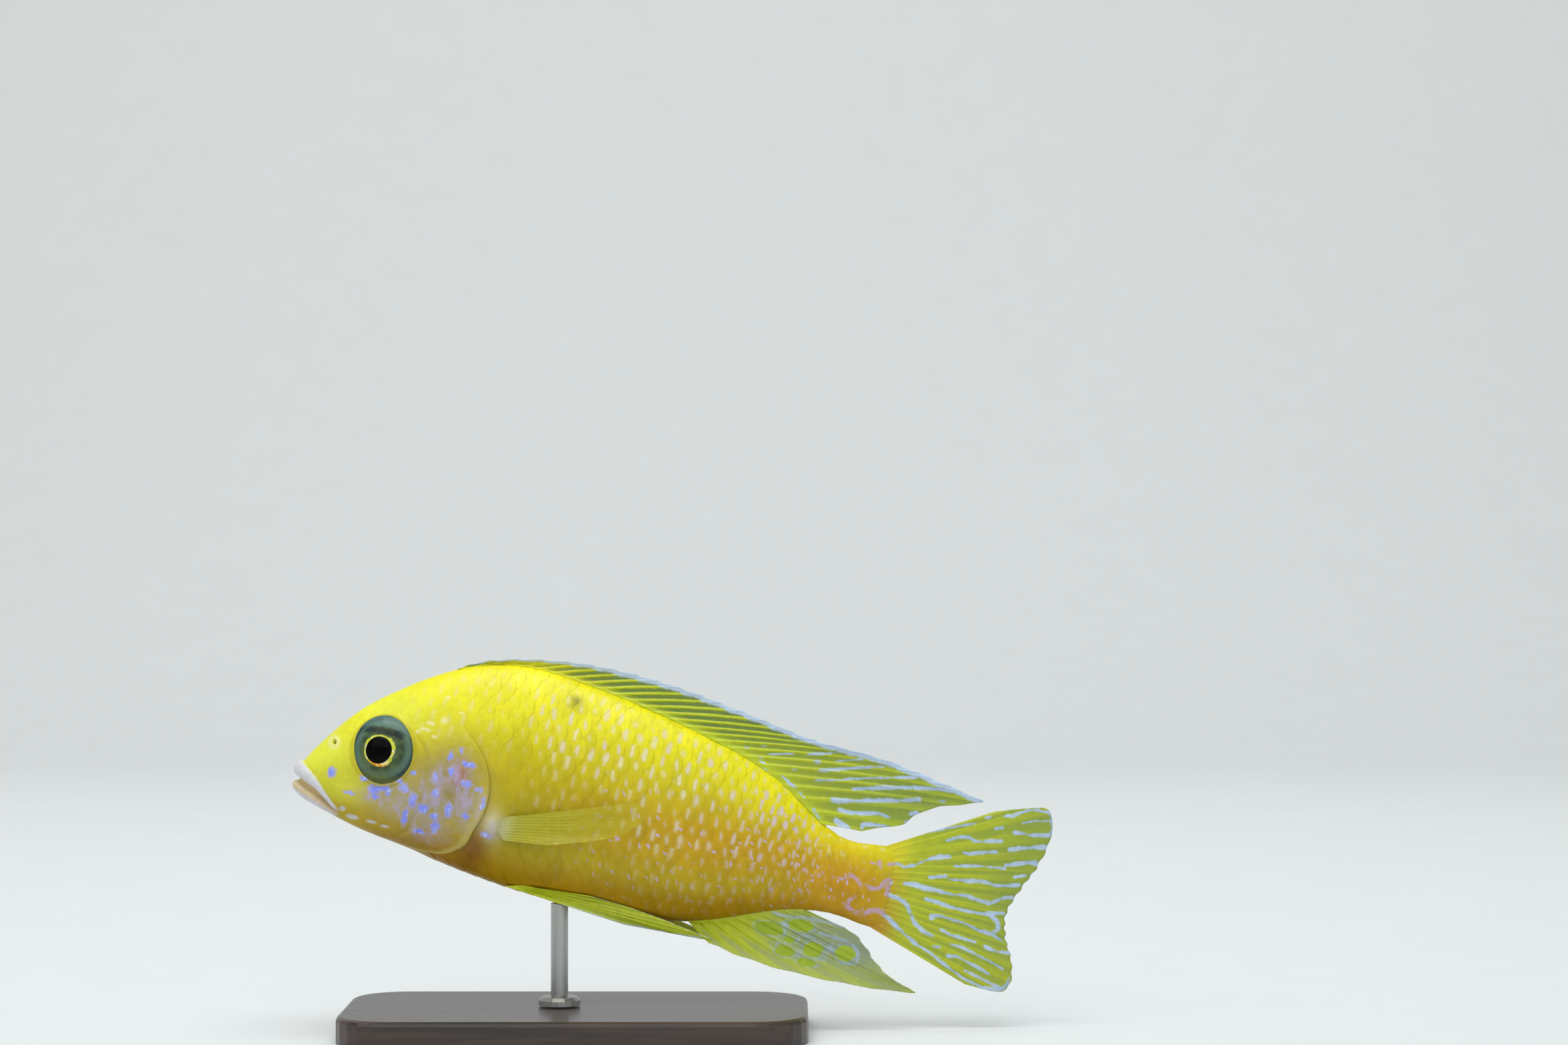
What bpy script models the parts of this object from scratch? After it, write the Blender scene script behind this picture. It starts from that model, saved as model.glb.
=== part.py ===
"""Life-size display model of a yellow peacock cichlid, swimming with its nose a little up, on a plain stand.

The fish is drawn in its own frame, in millimetres: x runs back from the tip of the snout, y points to the fish's
right and z is up. The empty "swimming_pose" carries every piece of the fish to its pitch and its height over the
stand. Metres, +Z up; the origin is on the floor under the middle of the fish.
"""

import math

import bmesh
import bpy
import numpy as np

MM = 0.001
GAP = 0.3  # clearance between neighbouring pieces, in mm
PITCH = math.radians(11.5)  # nose up
SNOUT_AT = (-65.4, 0.0, 44.15)  # where the tip of the snout hangs over the floor, in mm

# The body, in mm: distance from the snout, back line, belly line, half width, and the superellipse power of the
# lower half, which is squarer under the jaws.
STATIONS = (
    (0.3, 1.9, -1.6, 1.7, 2.6),
    (1.5, 4.2, -2.5, 2.9, 2.9),
    (4.0, 7.9, -3.9, 4.1, 3.1),
    (8.6, 13.6, -5.6, 5.3, 3.1),
    (14.0, 17.9, -7.0, 6.4, 2.8),
    (20.0, 21.9, -8.0, 7.4, 2.5),
    (27.0, 25.2, -9.5, 8.1, 2.2),
    (36.0, 26.7, -11.1, 8.5, 2.1),
    (46.0, 25.7, -12.2, 8.6, 2.05),
    (58.0, 23.5, -12.3, 8.0, 2.0),
    (68.0, 21.0, -11.8, 6.6, 1.95),
    (76.0, 18.6, -9.9, 5.2, 1.95),
    (83.0, 15.5, -7.3, 4.1, 1.95),
    (89.0, 11.2, -5.5, 3.2, 1.95),
    (95.0, 8.3, -5.0, 2.5, 2.0),
    (101.0, 8.5, -6.0, 1.2, 2.0),
)
GIRTH_HEIGHT = 0.44  # share of the depth at which the body is widest
BACK_POWER = 1.85  # a fairly sharp back
AROUND = 32  # points round a section

# The gill cover's edge: share of the body's depth, distance from the snout.
GILL_EDGE = (
    (0.00, 20.0),
    (0.04, 26.5),
    (0.10, 30.2),
    (0.22, 32.4),
    (0.36, 33.7),
    (0.48, 33.2),
    (0.58, 31.2),
    (0.68, 27.8),
    (0.85, 25.2),
    (1.00, 24.0),
)
GILL_POWER = 2.2  # superellipse power that spreads those shares round the section
GILL_FLARE = 0.05  # how much wider the gill cover stands than the body behind it
GILL_TOP = (0.6, 0.76)  # shares of the depth between which that flare fades into the nape
CHEEK_FOLD_AT = 0.68  # where the fold before the gill cover lies, as a share of the way from the snout
CHEEK_FOLD_DEPTH = 0.04  # how far it is sunk, as a share of the half width
HOLLOW_AT = (19.0, 6.0)  # x and z of the point to which the back of the head is hollowed

TUCK_UNDER_GILLS = 0.09  # how far the trunk's front edge is drawn in under the gill covers

PEDUNCLE_FROM = 92.0
BODY_END = 101.0
TAIL_SWING = 4.0  # sideways drift of the tail tip, away from the viewer
SWING_FROM = 42.0
SWING_TO = 130.0

MOUTH_LINE = ((-3.0, 0.35), (0.5, 0.0), (1.6, -0.25), (4.1, -1.15), (6.4, -2.6), (8.3, -4.0))
MOUTH_OPENING = 0.55  # height of the slit
LIP_CORNER = (9.0, 3.8)  # x and half width where the lips meet
LIP_BLUNTNESS = 3.0  # superellipse power of the mouth's curve, seen from above
UPPER_LIP = dict(front_radius=1.45, corner_radius=0.55, front_x=1.25, side=1)
LOWER_LIP = dict(front_radius=1.1, corner_radius=0.5, front_x=1.0, side=-1)
LIP_STEPS = 18
LIP_SIDES = 8

EYE_AT = (14.5, 8.1)  # x and z of the middle of the eye
EYE_RADIUS = 6.4
EYE_HALF_DEPTH = 2.9
EYE_SUNK = 1.75  # how far the ball's middle lies under the skin
NOSTRIL_AT = (6.3, 8.3)
NOSTRIL_RADIUS = 0.5

MEMBRANE = 0.27  # half thicknesses, in mm
RAY = 0.5
RAY_TIP = 0.3
RAY_SHARE = 0.2  # half width of a ray, as a share of the space between rays

ROD_AT_X = 49.0  # distance from the snout of the point of the belly that the rod carries
ROD_RADIUS = 1.5
ROD_FOOT_RADIUS = 3.6
ROD_FOOT_HEIGHT = 1.4
BASE_SIZE = (80.0, 42.0, 4.5)
BASE_CORNER = 9.0
BASE_EDGE = 0.8
BASE_CENTRE_X = -17.0

BODY_YELLOW = ((0.86, 0.72, 0.03, 1.0), 0.38, 0.0)
BELLY_GOLD = ((0.80, 0.52, 0.04, 1.0), 0.38, 0.0)
FIN_LIME = ((0.62, 0.72, 0.12, 1.0), 0.35, 0.0)
FIN_PALE = ((0.82, 0.80, 0.30, 1.0), 0.35, 0.0)
EYE_DARK = ((0.10, 0.13, 0.10, 1.0), 0.08, 0.0)
ROD_STEEL = ((0.62, 0.62, 0.60, 1.0), 0.3, 1.0)
BASE_SLATE = ((0.05, 0.05, 0.055, 1.0), 0.45, 0.0)


def curve_through(knots):
    """A smooth function through (x, value, ...) knots, with the slope of the two neighbours at each knot."""
    table = np.array(knots, float)
    xs, values = table[:, 0], table[:, 1:]
    slopes = np.gradient(values, xs, axis=0)

    def at(x):
        x = np.clip(np.asarray(x, float), xs[0], xs[-1])
        i = np.clip(np.searchsorted(xs, x, side="right") - 1, 0, len(xs) - 2)
        step = xs[i + 1] - xs[i]
        t = ((x - xs[i]) / step)[..., None]
        step = step[..., None]
        return (
            values[i] * (1 + 2 * t) * (1 - t) ** 2
            + values[i + 1] * t * t * (3 - 2 * t)
            + slopes[i] * step * t * (1 - t) ** 2
            + slopes[i + 1] * step * t * t * (t - 1)
        )

    return at


body_lines = curve_through(STATIONS)
gill_edge = curve_through(GILL_EDGE)
mouth_line = curve_through(MOUTH_LINE)


def height_share(theta, belly_power):
    """Share of the body's depth at which the angle theta, from 0 at the back to pi at the belly, meets the skin."""
    c = np.cos(theta)
    above = GIRTH_HEIGHT + (1 - GIRTH_HEIGHT) * np.abs(c) ** (2 / BACK_POWER)
    below = GIRTH_HEIGHT - GIRTH_HEIGHT * np.abs(c) ** (2 / belly_power)
    return np.where(c > 0, above, below)


def skin_point(x, theta, widen=1.0):
    """The point of the body's surface at distance x and angle theta; theta past pi is the other side."""
    back, belly, half, belly_power = np.moveaxis(body_lines(x), -1, 0)
    s = np.sin(theta)
    power = np.where(np.cos(theta) > 0, BACK_POWER, belly_power)
    y = half * widen * np.sign(s) * np.abs(s) ** (2 / power)
    z = belly + (back - belly) * height_share(theta, belly_power)
    return np.stack([np.broadcast_to(x, y.shape), y, z], axis=-1)


def half_width(x, z):
    """Half width of the body at distance x and height z, and 0 past its back or belly."""
    back, belly, half, belly_power = np.moveaxis(body_lines(x), -1, 0)
    middle = belly + (back - belly) * GIRTH_HEIGHT
    up = z > middle
    reach = np.where(up, (z - middle) / (back - middle), (middle - z) / (middle - belly))
    power = np.where(up, BACK_POWER, belly_power)
    return half * np.clip(1 - np.clip(reach, 0, 1) ** power, 0, 1) ** (1 / power)


def belly_height(x, y):
    """Height of the underside at distance x and lateral place y."""
    back, belly, half, power = np.moveaxis(body_lines(x), -1, 0)
    middle = belly + (back - belly) * GIRTH_HEIGHT
    return middle - (middle - belly) * (1 - abs(y / half) ** power) ** (1 / power)


def swing(x):
    """Sideways drift of the body at distance x."""
    t = np.clip((x - SWING_FROM) / (SWING_TO - SWING_FROM), 0, 1)
    return TAIL_SWING * t * t


def make_material(name, look):
    colour, roughness, metallic = look
    material = bpy.data.materials.new(name)
    material.use_nodes = True
    shader = material.node_tree.nodes["Principled BSDF"]
    shader.inputs["Base Color"].default_value = colour
    shader.inputs["Roughness"].default_value = roughness
    shader.inputs["Metallic"].default_value = metallic
    return material


def add_mesh(name, points_mm, faces):
    """A mesh object from points in millimetres, with its faces turned outwards."""
    mesh = bpy.data.meshes.new(name)
    mesh.from_pydata([tuple(p) for p in np.asarray(points_mm) * MM], [], faces)
    shape = bmesh.new()
    shape.from_mesh(mesh)
    bmesh.ops.recalc_face_normals(shape, faces=shape.faces)
    if shape.calc_volume(signed=True) < 0:
        bmesh.ops.reverse_faces(shape, faces=shape.faces)
    shape.to_mesh(mesh)
    shape.free()
    obj = bpy.data.objects.new(name, mesh)
    bpy.context.collection.objects.link(obj)
    return obj


def loft(rings, front=None, back=None):
    """Points and triangles of a closed skin over rings of equal length, each end drawn to a point or to its middle."""
    rings = np.asarray(rings, float)
    count, around = rings.shape[:2]
    front = rings[0].mean(axis=0) if front is None else front
    back = rings[-1].mean(axis=0) if back is None else back
    points = np.concatenate([rings.reshape(-1, 3), [front, back]])
    faces = []
    for i in range(count - 1):
        for k in range(around):
            a, b = i * around + k, i * around + (k + 1) % around
            faces += [(a, b, b + around), (a, b + around, a + around)]
    last = (count - 1) * around
    for k in range(around):
        n = (k + 1) % around
        faces += [(k, n, count * around), (last + n, last + k, count * around + 1)]
    return points, faces


def join_and_cut(obj, joined, cutters):
    """Unites obj with the joined objects, cuts the cutters out, applies both and removes what was used."""
    for operation, others in (("UNION", joined), ("DIFFERENCE", cutters)):
        group = bpy.data.collections.new(f"{obj.name}_{operation.lower()}")
        for other in others:
            group.objects.link(other)
            bpy.context.collection.objects.unlink(other)
        modifier = obj.modifiers.new(operation.title(), "BOOLEAN")
        modifier.operation = operation
        modifier.operand_type = "COLLECTION"
        modifier.collection = group
        modifier.solver = "EXACT"
        bpy.context.view_layer.objects.active = obj
        bpy.ops.object.modifier_apply(modifier=modifier.name)
        for other in others:
            bpy.data.objects.remove(other)
        bpy.data.collections.remove(group)
    keep_largest_body(obj)


def keep_largest_body(obj):
    """Drops every loose scrap of a mesh but its largest closed surface."""
    shape = bmesh.new()
    shape.from_mesh(obj.data)
    left = set(shape.verts)
    bodies = []
    while left:
        body, edge = set(), [left.pop()]
        while edge:
            vertex = edge.pop()
            body.add(vertex)
            near = {e.other_vert(vertex) for e in vertex.link_edges} & left
            left -= near
            edge += near
        bodies.append(body)
    bodies.sort(key=len)
    bmesh.ops.delete(shape, geom=[v for body in bodies[:-1] for v in body], context="VERTS")
    shape.to_mesh(obj.data)
    shape.free()


def finish_piece(obj, look, pose):
    """Gives a piece of the fish its sideways swing, its material and its place in the pose."""
    points = np.empty(len(obj.data.vertices) * 3)
    obj.data.vertices.foreach_get("co", points)
    points = points.reshape(-1, 3)
    points[:, 1] += swing(points[:, 0] / MM) * MM
    obj.data.vertices.foreach_set("co", points.ravel())
    obj.data.materials.clear()
    obj.data.materials.append(make_material(obj.name, look))
    obj.data.shade_smooth()
    obj.data.set_sharp_from_angle(angle=math.radians(40))
    if pose:
        obj.parent = pose


def angles():
    return np.arange(AROUND) * 2 * math.pi / AROUND


def gill_line():
    """Distance from the snout of the gill cover's edge, and how free it stands of the body, all round a section."""
    share = height_share(angles(), GILL_POWER)
    low, high = GILL_TOP
    fade = np.clip((share - low) / (high - low), 0, 1)
    return gill_edge(share)[:, 0], 1 - fade * fade * (3 - 2 * fade)


def make_head(pose):
    """The head back to the gill cover's edge, with lips, mouth, nostrils and eye sockets."""
    theta = angles()
    edge_x, free = gill_line()
    start = STATIONS[0][0]
    fold = CHEEK_FOLD_AT
    shares = [0, 0.025, 0.06, 0.1, 0.15, 0.21, 0.27, 0.33, 0.39, 0.45, 0.51, 0.57, 0.63]
    shares += [fold - 0.015, fold, fold + 0.02, 0.76, 0.82, 0.88, 0.94, 1]
    rings = []
    for share in shares:
        x = start + share * (edge_x - start)
        sunk = CHEEK_FOLD_DEPTH * (share == fold) - CHEEK_FOLD_DEPTH / 4 * (share == fold + 0.02)
        rings.append(skin_point(x, theta, 1 + free * (GILL_FLARE * share**3 - sunk)))
    hollow = np.array([HOLLOW_AT[0], 0, HOLLOW_AT[1]])
    head = add_mesh("head", *loft(rings, back=hollow))
    lips = [add_lip("upper_lip", **UPPER_LIP), add_lip("lower_lip", **LOWER_LIP)]
    cutters = [add_mouth_slit()]
    for side in (-1, 1):
        cutters.append(add_eyeball(f"socket{side}", side, GAP))
        cutters.append(add_nostril(side))
    join_and_cut(head, lips, cutters)
    finish_piece(head, BODY_YELLOW, pose)


def add_lip(name, front_radius, corner_radius, front_x, side):
    """A lip: a roll that runs round the snout from one mouth corner to the other, thinner at the corners."""
    corner_x, corner_y = LIP_CORNER
    turn = np.linspace(-math.pi / 2, math.pi / 2, LIP_STEPS + 1)
    x = corner_x - (corner_x - front_x) * np.abs(np.cos(turn)) ** (2 / LIP_BLUNTNESS)
    y = corner_y * np.sign(turn) * np.abs(np.sin(turn)) ** (2 / LIP_BLUNTNESS)
    radius = corner_radius + (front_radius - corner_radius) * np.cos(turn) ** 1.3
    z = mouth_line(x)[:, 0] + side * (radius + MOUTH_OPENING / 4)
    path = np.stack([x, y, z], axis=-1)
    ahead = np.gradient(path, axis=0)
    ahead /= np.linalg.norm(ahead, axis=1)[:, None]
    up = np.array([0.0, 0.0, 1.0])
    out = np.cross(ahead, up)
    out /= np.linalg.norm(out, axis=1)[:, None]
    over = np.cross(out, ahead)
    rings = []
    for point, o, v, r in zip(path, out, over, radius):
        a = np.arange(LIP_SIDES) * 2 * math.pi / LIP_SIDES
        rings.append(point + r * (np.cos(a)[:, None] * o + np.sin(a)[:, None] * v))
    return add_mesh(name, *loft(rings))


def add_mouth_slit():
    """The cutter of the mouth: a thin curved plate along the mouth line, through the whole width."""
    x = np.linspace(MOUTH_LINE[0][0], MOUTH_LINE[-1][0], 9)
    z = mouth_line(x)[:, 0]
    half = MOUTH_OPENING / 2 * np.linspace(1.3, 0.75, len(x))
    width = 12.0
    outline = np.concatenate(
        [np.stack([x, z + half], axis=-1), np.stack([x, z - half], axis=-1)[::-1]]
    )
    count = len(outline)
    points = [(p[0], side * width, p[1]) for side in (-1, 1) for p in outline]
    faces = [(k, (k + 1) % count, (k + 1) % count + count, k + count) for k in range(count)]
    half_count = count // 2
    for k in range(half_count - 1):
        quad = (k, k + 1, count - 2 - k, count - 1 - k)
        faces += [quad, tuple(v + count for v in quad)]
    return add_mesh("mouth_slit", points, faces)


def eye_frame():
    """The middle of the right eyeball and the directions back, up and out of its disc, which lies along the skin."""
    x, z = EYE_AT
    reach = 3.0
    surface = np.array([x, float(half_width(x, z)), z])
    back = np.array([2 * reach, float(half_width(x + reach, z) - half_width(x - reach, z)), 0])
    up = np.array([0, float(half_width(x, z + reach) - half_width(x, z - reach)), 2 * reach])
    out = np.cross(up, back)
    out /= np.linalg.norm(out)
    back /= np.linalg.norm(back)
    up = np.cross(back, out)
    return surface - out * EYE_SUNK, back, up, out


def add_eyeball(name, side, grown):
    """A flattened ball at the eye, grown all round by a clearance, with the pupil's middle at a pole."""
    bpy.ops.mesh.primitive_uv_sphere_add(segments=20, ring_count=10, radius=1.0)
    ball = bpy.context.object
    middle, back, up, out = eye_frame()
    points = np.array([vertex.co for vertex in ball.data.vertices])
    radius, depth = EYE_RADIUS + grown, EYE_HALF_DEPTH + grown
    points = middle + points @ np.array([back * radius, up * radius, out * depth])
    points[:, 1] *= side
    faces = [tuple(face.vertices) for face in ball.data.polygons]
    bpy.data.objects.remove(ball)
    return add_mesh(name, points, faces)


def add_nostril(side):
    x, z = NOSTRIL_AT
    bpy.ops.mesh.primitive_ico_sphere_add(subdivisions=1, radius=NOSTRIL_RADIUS * MM)
    pit = bpy.context.object
    pit.name = f"nostril{side}"
    where = np.array([x, side * (float(half_width(x, z)) + 0.05), z]) * MM
    for vertex in pit.data.vertices:
        vertex.co = (vertex.co.x + where[0], vertex.co.y + where[1], vertex.co.z + where[2])
    return pit


def make_eyes(pose):
    for name, side in (("eye_left", -1), ("eye_right", 1)):
        finish_piece(add_eyeball(name, side, 0.0), EYE_DARK, pose)


def make_torso(pose):
    """The trunk, from inside the gill covers to the start of the tail's stalk."""
    theta = angles()
    edge_x, free = gill_line()
    edge = skin_point(edge_x, theta, 1 + free * GILL_FLARE)
    tuck = 1 - TUCK_UNDER_GILLS * free * np.abs(np.sin(theta)) ** 2
    hollow = np.array([HOLLOW_AT[0], 0, HOLLOW_AT[1]])
    first = hollow + (edge - hollow) * tuck[:, None] + (GAP * 1.6, 0, 0)
    rings = [first]
    for share in np.linspace(0.05, 1, 20):
        x = first[:, 0] + share * (PEDUNCLE_FROM - first[:, 0])
        narrowing = 1 - free * GILL_FLARE * math.exp(-share / 0.06)
        rings.append(skin_point(x, theta, narrowing))
    torso = add_mesh("torso", *loft(rings, front=hollow + (GAP * 1.6, 0, 0)))
    finish_piece(torso, BODY_YELLOW, pose)


def make_peduncle(pose):
    """The stalk of the tail, down to the flat end that carries the tail fin."""
    theta = angles()
    rings = [skin_point(np.full(AROUND, x), theta) for x in np.linspace(PEDUNCLE_FROM + GAP, BODY_END, 6)]
    finish_piece(add_mesh("tail_stalk", *loft(rings)), BELLY_GOLD, pose)


def make_fin(name, look, pose, roots, tips, rays, rows, place, bow=0.0, notch=0.4, sheath=0.75):
    """A fin: one closed sheet whose surface rises in a ridge along each ray.

    roots and tips are knots (share, x, z) along the fin, place(x, z, share, along) gives the lateral place of the
    middle of the sheet, bow lifts each ray's middle by a share of its length, notch is how far the membrane's edge
    falls short of the rays in mm, and sheath is the half thickness at the root. Thicknesses are measured along y.
    """
    root_at, tip_at = curve_through(roots), curve_through(tips)
    space = 1 / (rays - 1)
    columns = []  # share along the fin, how much of a ray it is, how far it falls short
    for i in range(rays):
        s = i * space
        if i:
            columns += [(s - 0.5 * space, 0, notch), (s - RAY_SHARE * space, 0, notch * 0.6)]
        columns.append((s, 1, 0))
        if i < rays - 1:
            columns.append((s + RAY_SHARE * space, 0, notch * 0.6))
    shares, rayness, short = np.array(columns).T
    along = np.linspace(0, 1, rows + 1)
    root, tip = root_at(shares), tip_at(shares)
    short = short / np.linalg.norm(tip - root, axis=1)
    reach = along[None, :, None] * (1 - short)[:, None, None]
    middle = root[:, None] + (tip - root)[:, None] * reach
    length = np.linalg.norm(tip - root, axis=1)[:, None]
    middle[..., 1] += bow * length * np.sin(math.pi * along)
    x, z = middle[..., 0], middle[..., 1]
    y = place(x, z, shares[:, None] + 0 * along, along[None, :] + 0 * shares[:, None])
    thick = MEMBRANE + rayness[:, None] * (RAY - (RAY - RAY_TIP) * along - MEMBRANE)
    thick = np.where(along < 0.5 / rows, sheath, thick)
    near, far = np.stack([x, y - thick, z], axis=-1), np.stack([x, y + thick, z], axis=-1)
    finish_piece(add_mesh(name, *sheet_solid(near, far)), look, pose)


def sheet_solid(near, far):
    """Points and triangles of the closed solid between two grids of points, cut alike on both faces."""
    across, rows = near.shape[:2]
    points = np.concatenate([near.reshape(-1, 3), far.reshape(-1, 3)])
    other = across * rows
    faces = []
    for i in range(across - 1):
        for j in range(rows - 1):
            a, b = i * rows + j, (i + 1) * rows + j
            for tri in ((a, b, b + 1), (a, b + 1, a + 1)):
                faces += [tri, tuple(other + v for v in reversed(tri))]
    rim = [i * rows for i in range(across)]
    rim += [(across - 1) * rows + j for j in range(1, rows)]
    rim += [i * rows + rows - 1 for i in range(across - 2, -1, -1)]
    rim += [j for j in range(rows - 2, 0, -1)]
    for k, a in enumerate(rim):
        b = rim[(k + 1) % len(rim)]
        faces += [(a, other + a, other + b), (a, other + b, b)]
    return points, faces


def seat(start, stop, side, count=7):
    """Knots (share, x, z) of a fin's root along the back (side 1) or the belly (side -1), a gap off the skin."""
    shares = np.linspace(0, 1, count)
    x = start + (stop - start) * shares
    back, belly = body_lines(x)[:, 0], body_lines(x)[:, 1]
    slope = np.gradient(back if side > 0 else belly, x)
    lift = GAP * 1.15 * np.sqrt(1 + slope**2)
    z = back + lift if side > 0 else belly - lift
    return list(zip(shares, x, z))


def upright(lean=0.0):
    """A median fin's lateral place: straight up, or leaning a little to one side towards its edge."""
    return lambda x, z, share, along: lean * along**1.5


def make_median_fins(pose):
    """The dorsal, anal and tail fins, which stand in the fish's middle plane."""
    # Tips, as share along the fin, x and z.
    dorsal_tips = (
        (0.00, 25.5, 25.4),
        (0.04, 29.1, 26.4),
        (0.09, 34.2, 27.6),
        (0.16, 42.0, 28.75),
        (0.32, 58.0, 28.7),
        (0.48, 73.5, 26.4),
        (0.60, 86.5, 24.0),
        (0.72, 101.0, 22.8),
        (0.80, 112.0, 20.6),
        (0.84, 117.3, 19.3),
        (0.88, 113.6, 17.9),
        (0.92, 108.6, 16.2),
        (0.96, 104.3, 12.6),
        (1.00, 97.5, 10.1),
    )
    make_fin(
        "dorsal_fin", FIN_LIME, pose, seat(24.5, 91.2, 1, 12), dorsal_tips, rays=26, rows=5,
        place=upright(-0.6), bow=0.012, notch=0.5,
    )
    anal_tips = (
        (0.0, 75.5, -13.9),
        (0.1, 80.5, -15.0),
        (0.2, 87.5, -15.9),
        (0.3, 96.0, -16.3),
        (0.4, 104.5, -16.2),
        (0.5, 112.2, -15.5),
        (0.6, 108.4, -14.0),
        (0.7, 105.4, -12.2),
        (0.8, 103.0, -9.9),
        (0.9, 100.8, -7.9),
        (1.0, 98.0, -6.7),
    )
    make_fin(
        "anal_fin", FIN_LIME, pose, seat(71.5, 91.2, -1), anal_tips, rays=11, rows=6,
        place=upright(-1.0), bow=-0.012,
    )
    tail_roots = ((0.0, BODY_END + GAP, 8.1), (0.5, BODY_END + GAP, 1.2), (1.0, BODY_END + GAP, -5.7))
    tail_tips = (
        (0.00, 128.6, 19.1),
        (0.08, 130.2, 15.6),
        (0.20, 129.3, 10.8),
        (0.35, 127.3, 6.2),
        (0.50, 125.3, 1.0),
        (0.65, 126.2, -3.4),
        (0.80, 128.0, -7.5),
        (0.92, 128.4, -10.8),
        (1.00, 127.2, -13.2),
    )
    make_fin(
        "tail_fin", FIN_LIME, pose, tail_roots, tail_tips, rays=17, rows=6,
        place=upright(0.5), notch=0.35, sheath=0.85,
    )


def make_paired_fins(pose):
    """The pectoral and pelvic fins, one of each on either side, held back along the body."""
    pectoral_roots = ((0.0, 35.1, 1.3), (0.5, 35.4, -1.0), (1.0, 35.8, -3.2))
    pectoral_tips = (
        (0.0, 59.0, 8.2),
        (0.2, 60.8, 7.0),
        (0.45, 60.2, 4.6),
        (0.7, 56.0, 1.6),
        (1.0, 45.5, -1.9),
    )
    pelvic_roots = ((0.0, 40.2, -11.6), (0.5, 41.7, -11.52), (1.0, 43.4, -11.42))
    pelvic_tips = (
        (0.0, 61.0, -14.7),
        (0.2, 75.8, -13.1),
        (0.4, 72.5, -12.4),
        (0.6, 67.5, -11.6),
        (0.8, 62.0, -11.0),
        (1.0, 56.0, -10.8),
    )
    for word, side in (("left", -1), ("right", 1)):

        def pectoral_place(x, z, share, along, side=side):
            return side * (half_width(x, z) + GAP + 0.55 + 2.6 * along**0.9)

        def pelvic_place(x, z, share, along, side=side):
            return side * (3.4 + 1.6 * along * share + 0.4 * np.sin(math.pi * along))

        make_fin(
            f"pectoral_fin_{word}", FIN_PALE, pose, pectoral_roots, pectoral_tips, rays=12, rows=5,
            place=pectoral_place, notch=0.35, sheath=0.5,
        )
        make_fin(
            f"pelvic_fin_{word}", FIN_LIME, pose, pelvic_roots, pelvic_tips, rays=6, rows=7,
            place=pelvic_place, sheath=0.5,
        )


def underside_over(x, y):
    """Height over the floor of the belly straight above the floor point x, y, in mm."""
    height = SNOUT_AT[2]
    for _ in range(12):
        dx, dz = x - SNOUT_AT[0], height - SNOUT_AT[2]
        along = dx * math.cos(PITCH) - dz * math.sin(PITCH)
        belly = float(belly_height(along, y - float(swing(along))))
        height = SNOUT_AT[2] + (belly - dx * math.sin(PITCH)) / math.cos(PITCH)
    return height


def make_rod():
    """The rod: a turned foot on the base, and a shaft whose top is shaped to the belly."""
    belly = float(belly_height(ROD_AT_X, 0.0))
    centre_x = SNOUT_AT[0] + ROD_AT_X * math.cos(PITCH) + belly * math.sin(PITCH)
    bottom = BASE_SIZE[2] + GAP
    sides = 20
    profile = (
        (ROD_FOOT_RADIUS, bottom),
        (ROD_FOOT_RADIUS, bottom + ROD_FOOT_HEIGHT * 0.6),
        (ROD_FOOT_RADIUS - 0.6, bottom + ROD_FOOT_HEIGHT),
        (ROD_RADIUS, bottom + ROD_FOOT_HEIGHT + 0.3),
    )
    turn = np.arange(sides) * 2 * math.pi / sides
    ring = np.stack([np.cos(turn), np.sin(turn)], axis=-1)
    rings = []
    for radius, height in profile:
        flat = ring * radius + (centre_x, 0)
        rings.append(np.column_stack([flat, np.full(sides, height)]))
    flat = ring * ROD_RADIUS + (centre_x, 0)
    tops = [underside_over(x, y) - GAP * 1.2 for x, y in flat]
    rings.append(np.column_stack([flat, tops]))
    top_middle = (centre_x, 0, underside_over(centre_x, 0) - GAP * 1.2)
    rod = add_mesh("stand_rod", *loft(rings, back=top_middle))
    finish_stand(rod, ROD_STEEL)


def make_base():
    """The base: a flat plate with round corners and a softened top edge."""
    length, width, height = BASE_SIZE
    outline = []
    for corner_x, corner_y, start in ((1, 1, 0), (-1, 1, 90), (-1, -1, 180), (1, -1, 270)):
        middle = (corner_x * (length / 2 - BASE_CORNER), corner_y * (width / 2 - BASE_CORNER))
        for step in range(7):
            a = math.radians(start + step * 15)
            outline.append((middle[0] + BASE_CORNER * math.cos(a), middle[1] + BASE_CORNER * math.sin(a)))
    outline = np.array(outline)
    rings = []
    for inset, z in ((0, 0), (0, height - BASE_EDGE), (BASE_EDGE * 0.3, height - BASE_EDGE * 0.3), (BASE_EDGE, height)):
        shrink = 1 - 2 * inset / np.array([length, width])
        flat = outline * shrink + (BASE_CENTRE_X, 0)
        rings.append(np.column_stack([flat, np.full(len(flat), z)]))
    finish_stand(add_mesh("stand_base", *loft(rings)), BASE_SLATE)


def finish_stand(obj, look):
    obj.data.materials.append(make_material(obj.name, look))
    obj.data.shade_smooth()
    obj.data.set_sharp_from_angle(angle=math.radians(30))


def main():
    for obj in list(bpy.data.objects):
        bpy.data.objects.remove(obj)
    pose = bpy.data.objects.new("swimming_pose", None)
    bpy.context.collection.objects.link(pose)
    pose.location = tuple(v * MM for v in SNOUT_AT)
    pose.rotation_euler = (0, PITCH, 0)
    make_head(pose)
    make_eyes(pose)
    make_torso(pose)
    make_peduncle(pose)
    make_median_fins(pose)
    make_paired_fins(pose)
    make_rod()
    make_base()


main()
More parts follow.
